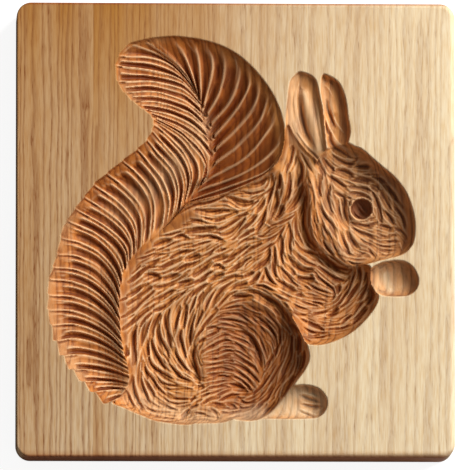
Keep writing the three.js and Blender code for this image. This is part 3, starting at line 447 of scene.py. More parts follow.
EAR_HAIRS = {"fine": [
    [(20, 47.6), (19.7, 44), (20.1, 40.6), (20.8, 37.2)],
    [(26.9, 45), (27.7, 39), (28.7, 33), (30.2, 27.5)],
    [(19.2, 36.6), (20.6, 32.9), (22.8, 29.5), (25.6, 26)], [(18.6, 28.6), (17.8, 24.6), (16.2, 20.8)],
    [(21.4, 27.4), (21.6, 23.4), (21, 19.6)],
], "deep": [
    [(29.9, 41.5), (30.5, 38.2), (31.4, 34.6), (33.2, 31.4)],
    [(31.5, 44.4), (31.7, 42.3), (32.5, 40.1), (33.3, 37.7), (34.1, 36.1)],
    [(33.9, 26.3), (36, 24.7), (38.4, 23.6), (40.2, 23.6), (41.3, 24.7)],
    [(21, 33.2), (22.8, 30.4), (24.8, 28), (27.6, 25.4), (30, 21.6)],
], "broad": [
    [(22.4, 48.4), (22.5, 44.7), (22.7, 41.5), (23.2, 38.3), (24.2, 34.5), (25.9, 31), (27.7, 27.6)],
    [(32.3, 33.5), (32.5, 31.3), (33.9, 29.2), (35.7, 28.1), (38.4, 26.8)],
], "crest": [
    [(21.6, 50.4), (21.1, 48.1), (20.9, 44.7), (21.2, 41.4), (21.9, 37.7), (23, 33.6)],
    [(27.4, 44.6), (28.4, 40.4), (28.9, 36), (30.2, 30), (31.6, 26)],
    [(30.7, 50.3), (32.3, 48.4), (33.3, 46.5)], [(33.1, 40.9), (34.4, 37.7), (36, 35.3), (37, 34)],
    [(29.6, 46), (30.2, 41.6), (31.4, 37.2), (33.2, 33.8), (35, 30.8), (37.4, 28.9), (39.6, 28)],
    [(18.6, 37.4), (20, 34.2), (22.4, 31), (25, 27.9), (28, 24.4), (29.6, 21.6)],
    [(31.2, 31.3), (32.3, 28.7), (34.1, 26.8), (37, 25.6)],
]}
TOE_CUTS = {"fine": [
    [(22, -61.9), (25, -63.2), (27.4, -64.1)],
], "deep": [
    [(23, -56.6), (25.4, -57.6), (28.1, -58.3)], [(23.4, -59.5), (26, -60.1), (28.6, -60.2)],
], "crest": [
    [(23, -55.5), (26, -56.3), (28.6, -57.1)], [(22, -60.9), (25, -62.1), (27.8, -63.1)],
]}
FUR = (BACK_HAIRS, HIP_HAIRS, HAUNCH_HAIRS, NECK_HAIRS, CHEST_HAIRS, HEAD_HAIRS, EAR_HAIRS,
       TOE_CUTS)
# Width and depth in mm of each size of cut; a crest stands up between two cuts
HAIR_SIZES = {
    "fine": (1.1, 0.6), "rib": (1.6, 0.9), "deep": (2.4, 1.2), "broad": (3.4, 1.5),
    "crest": (1.0, -0.35),
}
# Between them more hairs lie the same way, first in tufts and then fine over everything:
# least and most length, spacing, how far they bend per step, and their widths and depths
TUFTS = ((7, 16), 2.5, 0.03, ((1.9, 0.9), (2.6, 1.2), (3.2, 1.4)))
FINE_HAIRS = ((4, 14), 1.05, 0.05, ((0.8, 0.3), (1.0, 0.42), (1.2, 0.55)))
HAIR_SEED = 7
# The hollow is this deep, in mm, wherever fur is filled in
FUR_DEPTH = 5
# How much darker the tail's two parts are painted all over, with oil and painted shade (most on the curl's
# right lobe, turned from the lamp), and how much darker their deep grooves, with painted shade
BRUSH_SHADE_AND_OIL = 0.08
CURL_SHADE_AND_OIL = 1.0
BRUSH_GROOVE_SHADE = 0.4
CURL_GROOVE_SHADE = 0.6
# Where the cut wood is painted otherwise than its hollow: a line, its width in mm, how much more tan it
# makes the wood there and how much darker. Most are painted shade on parts turned from the lamp (the neck,
# the haunch's top, the head's right, the far ear, the paw's ends, the foot's rims) and painted light on
# parts turned to it (the near ear's walls, the paw's bright middle); the tail's rims and stem are made
# paler.
LIGHT_SHADE_AND_OIL_MARKS = [
    ([(20, 16), (17, 4), (12, -6), (9, -16)], 17, 0, 0.5),
    ([(-10, -26), (0, -20), (11, -22), (20, -32)], 8, 0, 0.25),
    ([(46, 26), (52, 19), (58, 11), (60, 2), (58, -7)], 12, 0, 0.4),
    ([(20, 53), (19.2, 46), (19, 38), (20.4, 32)], 7, -0.25, 0),
    ([(23.6, 47.4), (25.6, 41), (27.2, 35), (28.4, 28)], 5, -0.4, 0),
    ([(34.6, 51.4), (37, 46), (38.2, 38), (38.4, 31)], 6, 0, 0.7),
    ([(30, 51), (31, 46), (32, 42)], 4, -0.4, 0),
    ([(23, 53.4), (27, 50.6), (28.8, 44)], 5, 0, 0.3),
    ([(31, 30), (30, 24), (30, 20)], 4, 0, 0.5),
    ([(46, -12), (46.4, -20)], 5, 0.2, 0.4),
    ([(51.4, -15), (53, -20)], 4, -0.5, -0.3),
    ([(59, -12), (62, -17), (59, -22), (52, -22.6)], 6, 0.2, 0.35),
    ([(24, -53.6), (29.6, -56), (31.4, -60), (29, -64)], 4, 0.3, 0.5),
    ([(6, -64.6), (18, -64.6), (27, -64.4)], 4, 0.4, 0.25),
    ([(23, -58.5), (28, -60)], 7, 0.4, 0.1),
    ([(-12, 37), (-17, 27), (-27, 17), (-40, 6)], 15, -0.32, 0),
    ([(-36, -56), (-22, -62), (-6, -65), (8, -63)], 12, -0.35, 0),
    ([(-26, 66), (-35, 64), (-40.6, 58), (-40.6, 51), (-34, 43)], 8, -0.4, 0),
    ([(-56, 9), (-62, -6), (-65, -22), (-62, -38), (-54, -51)], 11, -0.45, 0),
]

# Where the gouge left the fur smooth but for the listed hairs: lines and widths in mm
SMOOTH_FUR = [
    ([(-39.4, -38), (-39.6, -26), (-38, -13.4), (-33, -5.4), (-27, -0.6), (-21, 4), (-16.6, 7)], 7.5),
    ([(-35.6, -46), (-34.6, -54), (-31, -58)], 4),
]
# Which way the lamp lies on the face: hairs have their steep side there
LAMP_SIDE = (0.79, 0.61)

# How each stave was sawn: ring spacing in mm, how strongly its rings show, how brown it is
# at its foot and at its head, how many degrees its rings lean from upright, and how many mm
# they drift along it
SAWN = {
    "left_edge_stave": (2.2, 0.62, 0.42, 0.94, 24, 0.5),
    "tail_stave": (1.9, 0.5, 0.42, 0.9, 28, 0.2),
    "spine_stave": (1.7, 0.36, 0.16, 0.74, 30, 0.5),
    "haunch_stave": (2.8, 0.3, 0.05, 0.4, 34, 1.5),
    "muzzle_stave": (3.2, 0.26, -0.02, 0.26, 36, 2.5),
    "right_edge_stave": (3.4, 0.26, -0.04, 0.06, 38, 3.0),
}
# How much browner a stave is for each metre to the left of its middle
BROWN_ACROSS = 8.0
# From one ring's open pores to the next ring's: the share of a ring, and how porous it is
RING_PORES = ((0.0, 1.0), (0.2, 0.7), (0.45, 0.15), (0.72, 0.0), (0.92, 0.25), (1.0, 0.7))

# The face's edge is eased this much more at the right, and at the head, than in the middle
EASED_MORE = (0.55, -0.15)
# The steps in which the back's edge is rounded
EDGE_STEPS = 3
# Edges sharper than this stay sharp in the shading
SHARP = math.radians(75)

# The paper reaches this far, under the mould only this far in, and lies a hair below it
FLOOR_REACH = 3.0
FLOOR_UNDER = 3 * MM
FLOOR_DROP = -0.02 * MM
# The light from all around: its strength, and what is added to it for the camera alone
WORLD_LIGHT = 0.185
WORLD_SHOWN = 0.74
# The one soft lamp: its angles in degrees around and above the board, its distance and size
# in metres, its power in watts, and the colour of all the light
LAMP_AZIMUTH = 34
LAMP_ELEVATION = 36
LAMP_DISTANCE = 1.3
LAMP_SIZE = 0.75
LAMP_POWER = 25.4
LIGHT_COLOUR = "fffdf9"

# The camera looks nearly straight down at the face: how far it leans back towards the
# squirrel's feet and tail in degrees, and how much of the face its square frame takes in
CAMERA_DISTANCE = 4.0
CAMERA_LEAN_DOWN = 5.6
CAMERA_LEAN_LEFT = 1.8
FRAME_WIDTH = 160.65 * MM
FRAME_CENTRE = (-0.26 * MM, -1.8 * MM)
SENSOR_WIDTH = 36.0


def linear(hex_colour):
    """An sRGB hex colour as linear RGB."""
    parts = [int(hex_colour[i:i + 2], 16) / 255 for i in (0, 2, 4)]
    return [c / 12.92 if c <= 0.04045 else ((c + 0.055) / 1.055) ** 2.4 for c in parts]


def smooth_line(places, closed=False, spacing=0.4):
    """Points along a smooth curve through places on the face, about spacing mm apart."""
    known = np.array(places, float)
    if closed:
        known = np.vstack([known[-1], known, known[0], known[1]])
    else:
        known = np.vstack([2 * known[0] - known[1], known, 2 * known[-1] - known[-2]])
    line = []
    for before, start, end, after in zip(known, known[1:], known[2:], known[3:]):
        count = max(2, int(math.dist(start, end) / spacing))
        t = (np.arange(count) / count)[:, None]
        line.append(0.5 * (2 * start + (end - before) * t
                           + (2 * before - 5 * start + 4 * end - after) * t ** 2
                           + (3 * start - before - 3 * end + after) * t ** 3))
    if not closed:
        line.append(known[-2][None])
    return np.vstack(line)


def even_points(places, count):
    """Points at even steps along the smooth curve through places, run on past both ends."""
    line = smooth_line(places)
    outward = line[0] - line[3]
    onward = line[-1] - line[-4]
    line = np.vstack([line[0] + outward * LOCK_LEAD / np.hypot(*outward), line,
                      line[-1] + onward * LOCK_OVERRUN / np.hypot(*onward)])
    steps = np.hypot(*np.diff(line, axis=0).T)
    travelled = np.concatenate([[0], np.cumsum(steps)])
    at = np.linspace(0, travelled[-1], count)
    points = np.column_stack([np.interp(at, travelled, line[:, i]) for i in (0, 1)])
    return points, travelled[-1]


def ease(values, low, high):
    """0 below low, 1 above high and a smooth step between."""
    t = np.clip((values - low) / (high - low), 0, 1)
    return t * t * (3 - 2 * t)


def bump(values, middle, width):
    """1 at the middle, falling off to 0 within about twice the width on both sides."""
    return np.exp(-((values - middle) / width) ** 2)


class CarvedFace:
    """How deep the face is cut at each node of a grid over the board, in mm.

    More layers hold the relief alone, where fur is filled in, and how the cut wood looks: how tan the oil
    has made it, how much darker it is painted with oil and painted shade in the deep hollows, and where
    painted shade and stain darken the grooves and the parts turned from the lamp, or painted light pales
    them.
    """

    def __init__(self, width, length, step):
        self.step = step
        self.x = np.arange(round(width / step) + 1) * step - width / 2
        self.y = np.arange(round(length / step) + 1) * step - length / 2
        layers = np.zeros((6, len(self.y), len(self.x)))
        self.depth, self.oiled, self.relief, self.soak, self.stained, self.hairy = layers

    def node_at(self, place):
        """Row and column of the node nearest to a place."""
        return (round((place[1] - self.y[0]) / self.step),
                round((place[0] - self.x[0]) / self.step))

    def window(self, points, margin):
        """Rows and columns of the grid that cover the points, and their places."""
        low = points.min(axis=0) - margin
        high = points.max(axis=0) + margin
        columns = slice(*np.searchsorted(self.x, (low[0], high[0])))
        rows = slice(*np.searchsorted(self.y, (low[1], high[1])))
        return rows, columns, *np.meshgrid(self.x[columns], self.y[rows])

    def blurred(self, values, sigma):
        """The values with a Gaussian blur of sigma mm."""
        reach = int(math.ceil(3 * sigma / self.step))
        weights = np.exp(-0.5 * (np.arange(-reach, reach + 1) * self.step / sigma) ** 2)
        weights /= weights.sum()
        for axis in (0, 1):
            edges = [(reach, reach) if a == axis else (0, 0) for a in (0, 1)]
            padded = np.pad(values, edges, "edge")
            size = values.shape[axis]
            values = sum(weight * np.take(padded, range(i, i + size), axis)
                         for i, weight in enumerate(weights))
        return values


def distance_inside(outline, x, y):
    """Distance to a closed outline at each place, 0 outside it."""
    nearest = np.full(x.shape, np.inf)
    inside = np.zeros(x.shape, bool)
    for (ax, ay), (bx, by) in zip(outline, np.roll(outline, -1, axis=0)):
        dx, dy = bx - ax, by - ay
        along = np.clip(((x - ax) * dx + (y - ay) * dy) / (dx * dx + dy * dy + 1e-12), 0, 1)
        nearest = np.minimum(nearest, (x - ax - along * dx) ** 2 + (y - ay - along * dy) ** 2)
        if ay != by:
            crosses = (ay > y) != (by > y)
            inside ^= crosses & (x < ax + (y - ay) * dx / dy)
    return np.where(inside, np.sqrt(nearest), 0)


def bowl(face, places, depth, wall, run):
    """The depths of a bowl: a steep wall at its outline, then a round slope over run mm."""
    outline = smooth_line(places, closed=True)
    rows, columns, x, y = face.window(outline, 1)
    inside = distance_inside(outline, x, y)
    rest = 1 - np.clip(inside / run, 0, 1)
    wall_foot = 0.5 + wall / 4
    cut = (wall + (depth - wall) * np.sqrt(1 - rest ** 2)) * ease(inside, 0, wall_foot)
    return rows, columns, cut


def swelling(face, places, width, cut):
    """The depths of a broad soft trough along a smooth line, or of a ridge."""
    line = smooth_line(places, spacing=0.3)
    rows, columns, x, y = face.window(line, width)
    nearest = np.full(x.shape, width)
    for place in line:
        nearest = np.minimum(nearest, np.hypot(x - place[0], y - place[1]))
    return rows, columns, cut * (0.5 + 0.5 * np.cos(math.pi * np.clip(2 * nearest / width, 0, 1)))


class LockFan:
    """A fan of locks: for each node its lock, its place s along it, and the lock's size."""

    layers = ("lock", "s", "length", "width")
    samples = 320
    # How far apart in mm the sampled lines lie, and how far on a lock's width is measured
    line_spacing = 0.08
    width_step = 0.02

    def __init__(self, face, guides, crests_at):
        lines = [even_points(guide, self.samples) for guide in guides]
        total = {name: np.zeros(face.depth.size) for name in ("n", *self.layers)}
        for i, ((a, length_a), (b, length_b)) in enumerate(zip(lines, lines[1:])):
            gap = np.hypot(*(b - a).T)
            count = max(8, int(gap.max() / self.line_spacing))
            for t in np.arange(count) / count:
                points = a * (1 - t) + b * t
                length = length_a * (1 - t) + length_b * t
                column = np.rint((points[:, 0] - face.x[0]) / face.step).astype(int)
                row = np.rint((points[:, 1] - face.y[0]) / face.step).astype(int)
                for name, value in self.sampled(i + t, gap, length, crests_at).items():
                    np.add.at(total[name], row * len(face.x) + column, value)
        shape = face.depth.shape
        self.known = (total["n"] > 0).reshape(shape)
        for name in self.layers:
            setattr(self, name, (total[name] / np.maximum(total["n"], 1)).reshape(shape))
        self.close_gaps()

    def sampled(self, guide, gap, length, crests_at):
        """Each layer's values along one line of the fan, guide crests from its first crest."""
        at_lock = partial(np.interp, xp=crests_at, fp=np.arange(len(crests_at)))
        lock = at_lock(guide)
        wide = at_lock(guide + self.width_step) - lock
        return {
            "n": np.ones(self.samples),
            "lock": np.full(self.samples, lock),
            "s": np.linspace(0, length, self.samples) - LOCK_LEAD,
            "length": np.full(self.samples, length - LOCK_LEAD),
            "width": gap * self.width_step / max(wide, 1e-3),
        }

    def close_gaps(self):
        """Nodes that no sample hit take the mean of their neighbours."""
        for _ in range(3):
            near = np.zeros(self.known.shape)
            sums = {name: np.zeros(self.known.shape) for name in self.layers}
            for shift in ((0, 1), (0, -1), (1, 0), (-1, 0)):
                hit = np.roll(self.known, shift, (0, 1))
                near += hit
                for name in sums:
                    sums[name] += np.where(hit, np.roll(getattr(self, name), shift, (0, 1)), 0)
            fill = ~self.known & (near >= 3)
            for name, value in sums.items():
                getattr(self, name)[fill] = value[fill] / near[fill]
            self.known |= fill


def hair_noise(across, along, seed):
    """Smooth noise from -1 to 1 whose grains are one unit across and one along."""
    rows, columns = 256, 64
    table = np.random.default_rng(seed).uniform(-1, 1, (rows, columns))
    row = np.floor(across).astype(int)
    column = np.floor(along).astype(int)
    down = ease(across - row, 0, 1)
    on = ease(along - column, 0, 1)
    first, second = (table[row % rows, c % columns] * (1 - down)
                     + table[(row + 1) % rows, c % columns] * down for c in (column, column + 1))
    return first * (1 - on) + second * on


def cut_fan(face, fan, inside, floor, relief, hairs_per_lock):
    """Cut a fan of locks down to its floor and relief, with fine hairs, inside its outline."""
    along = fan.s / LOCK_HAIR_GRAIN + 0.4 * fan.lock
    hairs = np.abs(hair_noise(fan.lock * hairs_per_lock, along, HAIR_SEED))
    uneven = 0.8 + 0.35 * hair_noise(fan.lock + 0.5, fan.s / 9, HAIR_SEED + 1)
    relief = relief * uneven + LOCK_HAIR * (hairs - 0.35) * ease(inside, 1, 5)
    relief *= ease(fan.length - fan.s, 0, 3)
    depth = np.where(fan.known, (floor + relief) * ease(inside, 0, 0.7), 0)
    deeper = fan.known & (depth > face.depth)
    face.depth[deeper] = depth[deeper]
    face.relief[deeper] = relief[deeper]
    face.oiled[fan.known] = 1


def valley(fan, inside, depth, full_lock, fall):
    """The depths of locks that fall all the way in, and how far along its lock each node is."""
    share = np.clip(inside / np.maximum(fan.length, 1), 0, 1)
    return depth * np.minimum(1, fan.length / full_lock) * share ** fall, share


def trough(fan, inside, share, depth):
    """The depths of locks that have a round outer wall, and rise again towards the stem."""
    rest = 1 - np.clip(inside / TROUGH_WALL, 0, 1)
    deepest = depth * np.minimum(1, fan.length / TROUGH_LOCK) * np.sqrt(1 - rest ** 2)
    return deepest * (1 - TROUGH_RISE * ease(share, 0.5, 1.0))


def carve_brush(face, depth, groove):
    """Cut the tail's brush: each lock a ledge, a shallow groove, a second crest, a deep one."""
    fan = LockFan(face, BRUSH_CRESTS, BRUSH_CRESTS_AT)
    locks, *ends = zip(*LOCK_ENDS)
    smooth, step_out, second = (np.interp(fan.lock, locks, end) for end in ends)
    past_ledge = fan.lock % 1
    stepped = np.minimum(past_ledge, (1 - past_ledge) * 8)
    inside = fan.s + step_out * (stepped - 0.5)
    fallen, share = valley(fan, inside, depth, VALLEY_LOCK, VALLEY_FALL)
    low = ease(fan.lock, *TROUGHS_FROM)
    floor = fallen * (1 - low) + trough(fan, inside, share, depth) * low
    shallow = SHALLOW_GROOVE * np.sin(math.pi * np.clip(past_ledge / second, 0, 1))
    deep = np.sin(math.pi * np.clip((past_ledge - second) / (1 - second), 0, 1)) ** 0.8
    ribs = groove * np.minimum(1, fan.width / WIDE_LOCK) * (shallow + deep - MEAN_GROOVE)
    ribs *= ease(inside, smooth * 0.6, smooth * 1.1)
    # In the smooth part near the outline only a narrow slot and a lip part the locks
    near_outline = 1 - ease(inside, smooth, smooth * 1.5)
    from_ledge = (fan.lock - np.rint(fan.lock)) * fan.width
    slot = bump(from_ledge, 0.45, 0.35) * near_outline
    ledge = 0.5 * slot - 0.25 * bump(from_ledge, -0.1, 0.3)
    ledge *= ease(inside, 0.1, 0.8) * near_outline
    cut_fan(face, fan, inside, floor, ribs + ledge, BRUSH_HAIRS)
    # Painted shade, partly oil: each lock's deep groove, and the slot under its ledge near the outline, are
    # darkened where shade falls
    dark = ease(past_ledge, second + 0.05, second + 0.25) * (1 - ease(past_ledge, 0.85, 0.98))
    dark *= ease(inside, smooth * 0.6, smooth * 1.4) * ease(fan.length - fan.s, 1, 4)
    face.soak[fan.known] = BRUSH_SHADE_AND_OIL * (1 - 0.5 * low[fan.known])
    face.stained[fan.known] = BRUSH_GROOVE_SHADE * np.maximum(dark, slot)[fan.known]


def carve_curl(face, depth, groove):
    """Cut the right lobe of the tail's curled tip: each lock one groove between round crests."""
    fan = LockFan(face, CURL_CRESTS, CURL_CRESTS_AT)
    across = np.abs(2 * (fan.lock % 1) - 1)
    inside = fan.s - 0.15 * across ** 2
    floor, share = valley(fan, inside, depth, CURL_LOCK, CURL_FALL)
    crest = np.clip(1.08 - np.hypot(1 - across, 0.16), 0, 1) ** 2
    ribs = groove * (0.5 + 1.3 * share) * (0.4 - crest) * (0.15 + 0.85 * ease(inside, 1, 9))
    cut_fan(face, fan, inside, floor, ribs * ease(inside, 0.5, 1.3), CURL_HAIRS)
    # Painted shade, partly oil: the curl's right lobe, turned from the lamp, and its grooves are darkened
    rightward = ease(fan.lock, 2, 6)
    face.soak[fan.known] = CURL_SHADE_AND_OIL * (0.45 + 0.55 * rightward)[fan.known]
    dark = (1 - across ** 2) * ease(inside, 3, 9) * (0.4 + 0.6 * rightward)
    face.stained[fan.known] = CURL_GROOVE_SHADE * dark[fan.known]


def hair_groove(face, places, width, cut):
    """The depths of one hair: a groove with a steep side towards the lamp and an easy one."""
    line = smooth_line(places, spacing=0.6)
    rows, columns, x, y = face.window(line, width)
    best = np.zeros(x.shape)
    share = (np.arange(len(line) - 1) + 0.5) / (len(line) - 1)
    for a, b, t in zip(line, line[1:], share):
        reach = np.hypot(*(b - a))
        d = (b - a) / reach
        along = np.clip((x - a[0]) * d[0] + (y - a[1]) * d[1], 0, reach)
        away_x = x - a[0] - along * d[0]
        away_y = y - a[1] - along * d[1]
        side = -away_x * d[1] + away_y * d[0]
        to_lamp = -LAMP_SIDE[0] * d[1] + LAMP_SIDE[1] * d[0]
        narrow, wide = 0.5 - 0.2 * abs(to_lamp), 0.5 + 0.35 * abs(to_lamp)
        swell = math.sin(math.pi * (0.06 + 0.92 * t)) ** 0.6
        half = width * (0.4 + 0.6 * swell) * np.where(side * to_lamp > 0, narrow, wide)
        away = np.hypot(away_x, away_y)
        best = np.maximum(best, cut * swell * np.clip(1 - (away / half) ** 1.05, 0, 1))
    return rows, columns, best


def hair_steps():
    """Short steps along all the listed hairs: their middles, and twice their angles."""
    middles, angles = [], []
    for stroke in (stroke for hairs in FUR for strokes in hairs.values() for stroke in strokes):
        line = smooth_line(stroke, spacing=1.5)
        way = np.diff(line, axis=0)
        middles.append((line[1:] + line[:-1]) / 2)
        angles.append(2 * np.arctan2(way[:, 1], way[:, 0]))
    return np.vstack(middles), np.concatenate(angles)


def hair_flow(face):
    """The way the hairs lie at each node of the grid, as x and y parts of a unit step."""
    middles, angles = hair_steps()
    coarse = 8
    ys, xs = np.meshgrid(face.y[::coarse], face.x[::coarse], indexing="ij")
    spots = np.stack((xs.ravel(), ys.ravel()), axis=1)
    near = 1 / (((spots[:, None] - middles[None]) ** 2).sum(axis=2) + 1.0) ** 2
    flow = []
    for part in (np.cos(angles), np.sin(angles)):
        rough = ((near * part).sum(axis=1) / near.sum(axis=1)).reshape(xs.shape)
        fine = np.kron(rough, np.ones((coarse, coarse)))[:len(face.y), :len(face.x)]
        flow.append(face.blurred(fine, 1.0))
    way = np.arctan2(flow[1], flow[0]) / 2
    return np.cos(way), np.sin(way)


class HairRoom:
    """Where on the face there is still room for another hair."""

    def __init__(self, face):
        self.face = face
        self.taken = (face.hairy == 0) | (face.depth <= FUR_DEPTH)
        self.crowded = self.taken.copy()

    def take(self, line, spacing):
        """Close the room within a spacing of the line, and closer by to hairs that pass."""
        reach = spacing / self.face.step
        span = int(math.ceil(reach))
        down, on = np.mgrid[-span:span + 1, -span:span + 1]
        away = np.hypot(down, on)
        for place in line:
            row, column = self.face.node_at(place)
            near = (slice(row - span, row + span + 1), slice(column - span, column + span + 1))
            self.taken[near] |= away < reach
            self.crowded[near] |= away < reach * 0.55


def followed_hair(start, length, bend, room, flow):
    """Points both ways along the hairs' flow from a start, while there is room."""
    step = 0.6
    halves = []
    for turn in (1, -1):
        line, place, way = [], np.array(start, float), None
        while len(line) * step < length / 2:
            node = room.face.node_at(place)
            if room.crowded[node]:
                break
            onward = np.array((flow[0][node], flow[1][node]))
            if way is None:
                onward *= turn
            elif onward @ way < 0:
                onward = -onward
            way = onward
            line.append(place)
            aside = np.array((-way[1], way[0])) * bend * len(line)
            place = place + (way + aside) * step
        halves.append(line)
    return halves[1][:0:-1] + halves[0]


def fill_hairs(face, flow, kept_clear, chance, lengths, spacing, bend, sizes):
    """Hairs that follow the listed ones and fill the room between those kept clear."""
    room = HairRoom(face)
    for line in kept_clear:
        room.take(smooth_line(line, spacing=0.5), spacing * 0.85)
    rows, columns = np.nonzero(~room.taken)
    hairs = []
    for pick in chance.permutation(len(rows)):
        if room.taken[rows[pick], columns[pick]]:
            continue
        start = (face.x[columns[pick]], face.y[rows[pick]])
        turn = chance.uniform(-bend, bend)
        line = followed_hair(start, chance.uniform(*lengths), turn, room, flow)
        room.take(line, spacing * chance.uniform(0.65, 1.15))
        if len(line) > 4:
            hairs.append((line[::3] + line[-1:], *chance.choice(sizes)))
    return hairs


def carve_fur(face):
    """Cut the fur into the bowls: listed hairs, tufts between them, fine hairs over all."""
    chance = np.random.default_rng(HAIR_SEED)
    flow = hair_flow(face)
    picked = [(places, *HAIR_SIZES[size]) for hairs in FUR
              for size, strokes in hairs.items() for places in strokes]
    tufts = fill_hairs(face, flow, [places for places, _, _ in picked], chance, *TUFTS)
    fine = fill_hairs(face, flow, [], chance, *FINE_HAIRS)
    relief = np.zeros(face.depth.shape)
    for cuts in (picked + tufts, fine):
        lowest, highest = np.zeros((2, *face.depth.shape))
        for places, width, cut in cuts:
            rows, columns, groove = hair_groove(face, places, width, abs(cut))
            part = (lowest if cut > 0 else highest)[rows, columns]
            np.maximum(part, groove, out=part)
        relief += lowest - highest
    face.relief += relief * ease(face.depth, 0.8, 3.4)
    face.depth += face.relief


def carve_bowls(face, sizes):
    """Cut the hollows of the body, the head and the limbs: each shows where it is deepest."""
    # Each hollow: its outline, its depth, the drop at its rim, how far in it is deepest, how tan the oil
    # has made it, how much darker it is painted with oil and painted shade, and whether fur is filled in
    forms = [
        (BACK, sizes.body_depth, 3.4, 20, 1, 0.15, True),
        (HIP, sizes.body_depth + 0.6 * MM, 3.4, 14, 1, 0.1, True),
        (HAUNCH, sizes.haunch_depth, 4, 24, 1, 1.0, True),
        (CHEST, sizes.body_depth + 1 * MM, 3, 17, 1, 0.7, True),
        (NAPE, sizes.head_depth - 0.8 * MM, 0.5, 12, 0.95, 0, True),
        (HEAD, sizes.head_depth, 2.6, 19, 0.92, 0.5, True),
        (NEAR_EAR, sizes.ear_depth * 0.85, 0.6, 7, 0.85, 0, False),
        (FAR_EAR, sizes.ear_depth, 1.5, 5, 0.9, 0.1, False),
        (FORE_PAW, sizes.paw_depth, 1, 7.5, 0.65, 0.1, False),
        (HIND_FOOT, sizes.paw_depth * 0.75, 0.7, 6, 0.36, 0, False),
    ]
    for places, depth, wall, run, oiled, soak, hairy in forms:
        rows, columns, cut = bowl(face, places, depth / MM, wall, run)
        part = face.depth[rows, columns]
        on_top = cut > part
        for layer, value in ((face.oiled, oiled), (face.soak, soak), (face.hairy, hairy)):
            layer[rows, columns][on_top] = value
        np.maximum(part, cut, out=part)


def soften_body(face):
    """Give the body its swellings, and blur the seams between its bowls."""
    within = ease(face.depth, 1.5, 4)
    for places, width, cut in SWELLINGS:
        rows, columns, change = swelling(face, places, width, cut)
        face.depth[rows, columns] += change * within[rows, columns]
    softer = face.blurred(face.depth, 0.9)
    inner = ease(face.depth, 3.0, 4.5)
    face.depth = face.depth * (1 - inner) + softer * inner


def carve_eye(face):
    """Cut the eye's round pit with a ridge around it, and return where both lie, from 0 to 1."""
    x, y = np.meshgrid(face.x, face.y)
    from_eye = np.hypot(x - EYE[0], y - EYE[1])
    radius, height, width = EYE_RIDGE
    ridge = bump(from_eye, radius, width)
    pit = np.sqrt(np.clip(1 - (from_eye / EYE_RADIUS) ** 2, 0, 1))
    face.depth += EYE_PIT * pit - height * ridge
    return pit, ridge


def colour_layers(face, pit, ridge):
    """Finish the layers that colour the cut: oil, oil with painted shade, and furrow from -1 up (painted
    pale) to 1 down (painted shade).
    """
    # Painted light and shade, and some stain, along the listed lines
    for places, width, tan, dark in LIGHT_SHADE_AND_OIL_MARKS:
        for layer, amount in ((face.oiled, tan), (face.stained, dark)):
            rows, columns, change = swelling(face, places, width, amount)
            layer[rows, columns] = np.clip(layer[rows, columns] + change, 0, 1)
    face.oiled = face.blurred(face.oiled, 0.3) * ease(face.depth, 0.0, 0.4)
    # Painted shade: on top of the oil, the cut is darkened more the deeper it lies
    face.soak = face.blurred(face.soak, 2.0) * ease(face.depth, 1.0, 5.0)
    face.soak = np.clip(face.soak + face.stained * ease(face.depth, 0.2, 1.2), 0, 1)
    # The furrow paints shade in grooves and pale on crests; the eye's pit is painted as shade, its ridge as
    # a painted highlight
    furrow = np.clip((face.relief - face.blurred(face.relief, 0.6)) / 0.25, -1, 1)
    face.furrow = np.clip(furrow * (1 - ridge) * (pit == 0) + 1.2 * (pit > 0) - ridge, -1, 1)


def carved_squirrel(sizes):
    """The whole carving, as depths on a fine grid over the face."""
    low, high = (np.array(corner) / MM for corner in CAD_BOUNDS)
    face = CarvedFace(high[0] - low[0], high[1] - low[1], sizes.mesh_step / MM)
    carve_bowls(face, sizes)
    soften_body(face)
    for places, width in SMOOTH_FUR:
        rows, columns, near = swelling(face, places, width, 1.0)
        face.hairy[rows, columns] *= near < 0.1
    carve_fur(face)
    carve_brush(face, sizes.tail_depth / MM, sizes.lock_groove / MM)
    carve_curl(face, sizes.tail_depth / MM, sizes.lock_groove / MM)
    colour_layers(face, *carve_eye(face))
    return face


def size_property(name, millimetres, description):
    """A length that a user can change."""
    return bpy.props.FloatProperty(name=name, description=description, default=millimetres * MM,
                                   subtype="DISTANCE", unit="LENGTH")


def colour_property(name, hex_colour, description):
    """A colour that a user can change."""
    return bpy.props.FloatVectorProperty(name=name, description=description,
                                         default=linear(hex_colour), subtype="COLOR", min=0, max=1)


class MouldSizes(bpy.types.PropertyGroup):
    """The board's sizes and the depths of its carving."""

    mesh_step: size_property("Mesh step", 0.25, "Spacing of the carved face's mesh")
    corner_radius: size_property("Corner radius", 5, "Radius of the corners, seen from above")
    edge_round: size_property("Back edge round", 1.3, "Radius of the edge around the back")
    face_edge_round: size_property("Face edge round", 1.1, "Mean radius of the face's edge")
    tail_depth: size_property("Tail depth", 8, "Depth of the tail below the face")
    lock_groove: size_property("Lock groove", 1.5, "Depth of the grooves in the tail's locks")
    body_depth: size_property("Body depth", 8, "Depth of the back and hip")
    haunch_depth: size_property("Haunch depth", 11.5, "Depth of the haunch")
    head_depth: size_property("Head depth", 7.5, "Depth of the head")
    ear_depth: size_property("Ear depth", 3.4, "Depth of the ears")
    paw_depth: size_property("Paw depth", 5.5, "Depth of the fore paw and the hind foot")


class MouldColours(bpy.types.PropertyGroup):
    """The ash's colours, and the floor's. A tint multiplies the wood's colour."""

    late_wood: colour_property("Late wood", "f2dfbd", "Dense pale wood between the pore bands")
    early_wood: colour_property("Early wood", "b47b36", "The open pore bands of the rings")
    carved_tint: colour_property("Carved tint", "fec383", "What oil does to the cut surfaces")
    # The shade-and-oil tint paints shade in the deep hollows as well as oil's colour
    soaked_tint: colour_property("Soaked tint", "c2a486", "What more oil does in the hollows")
    floor: colour_property("Floor", "a8a8a8", "The pale studio floor")


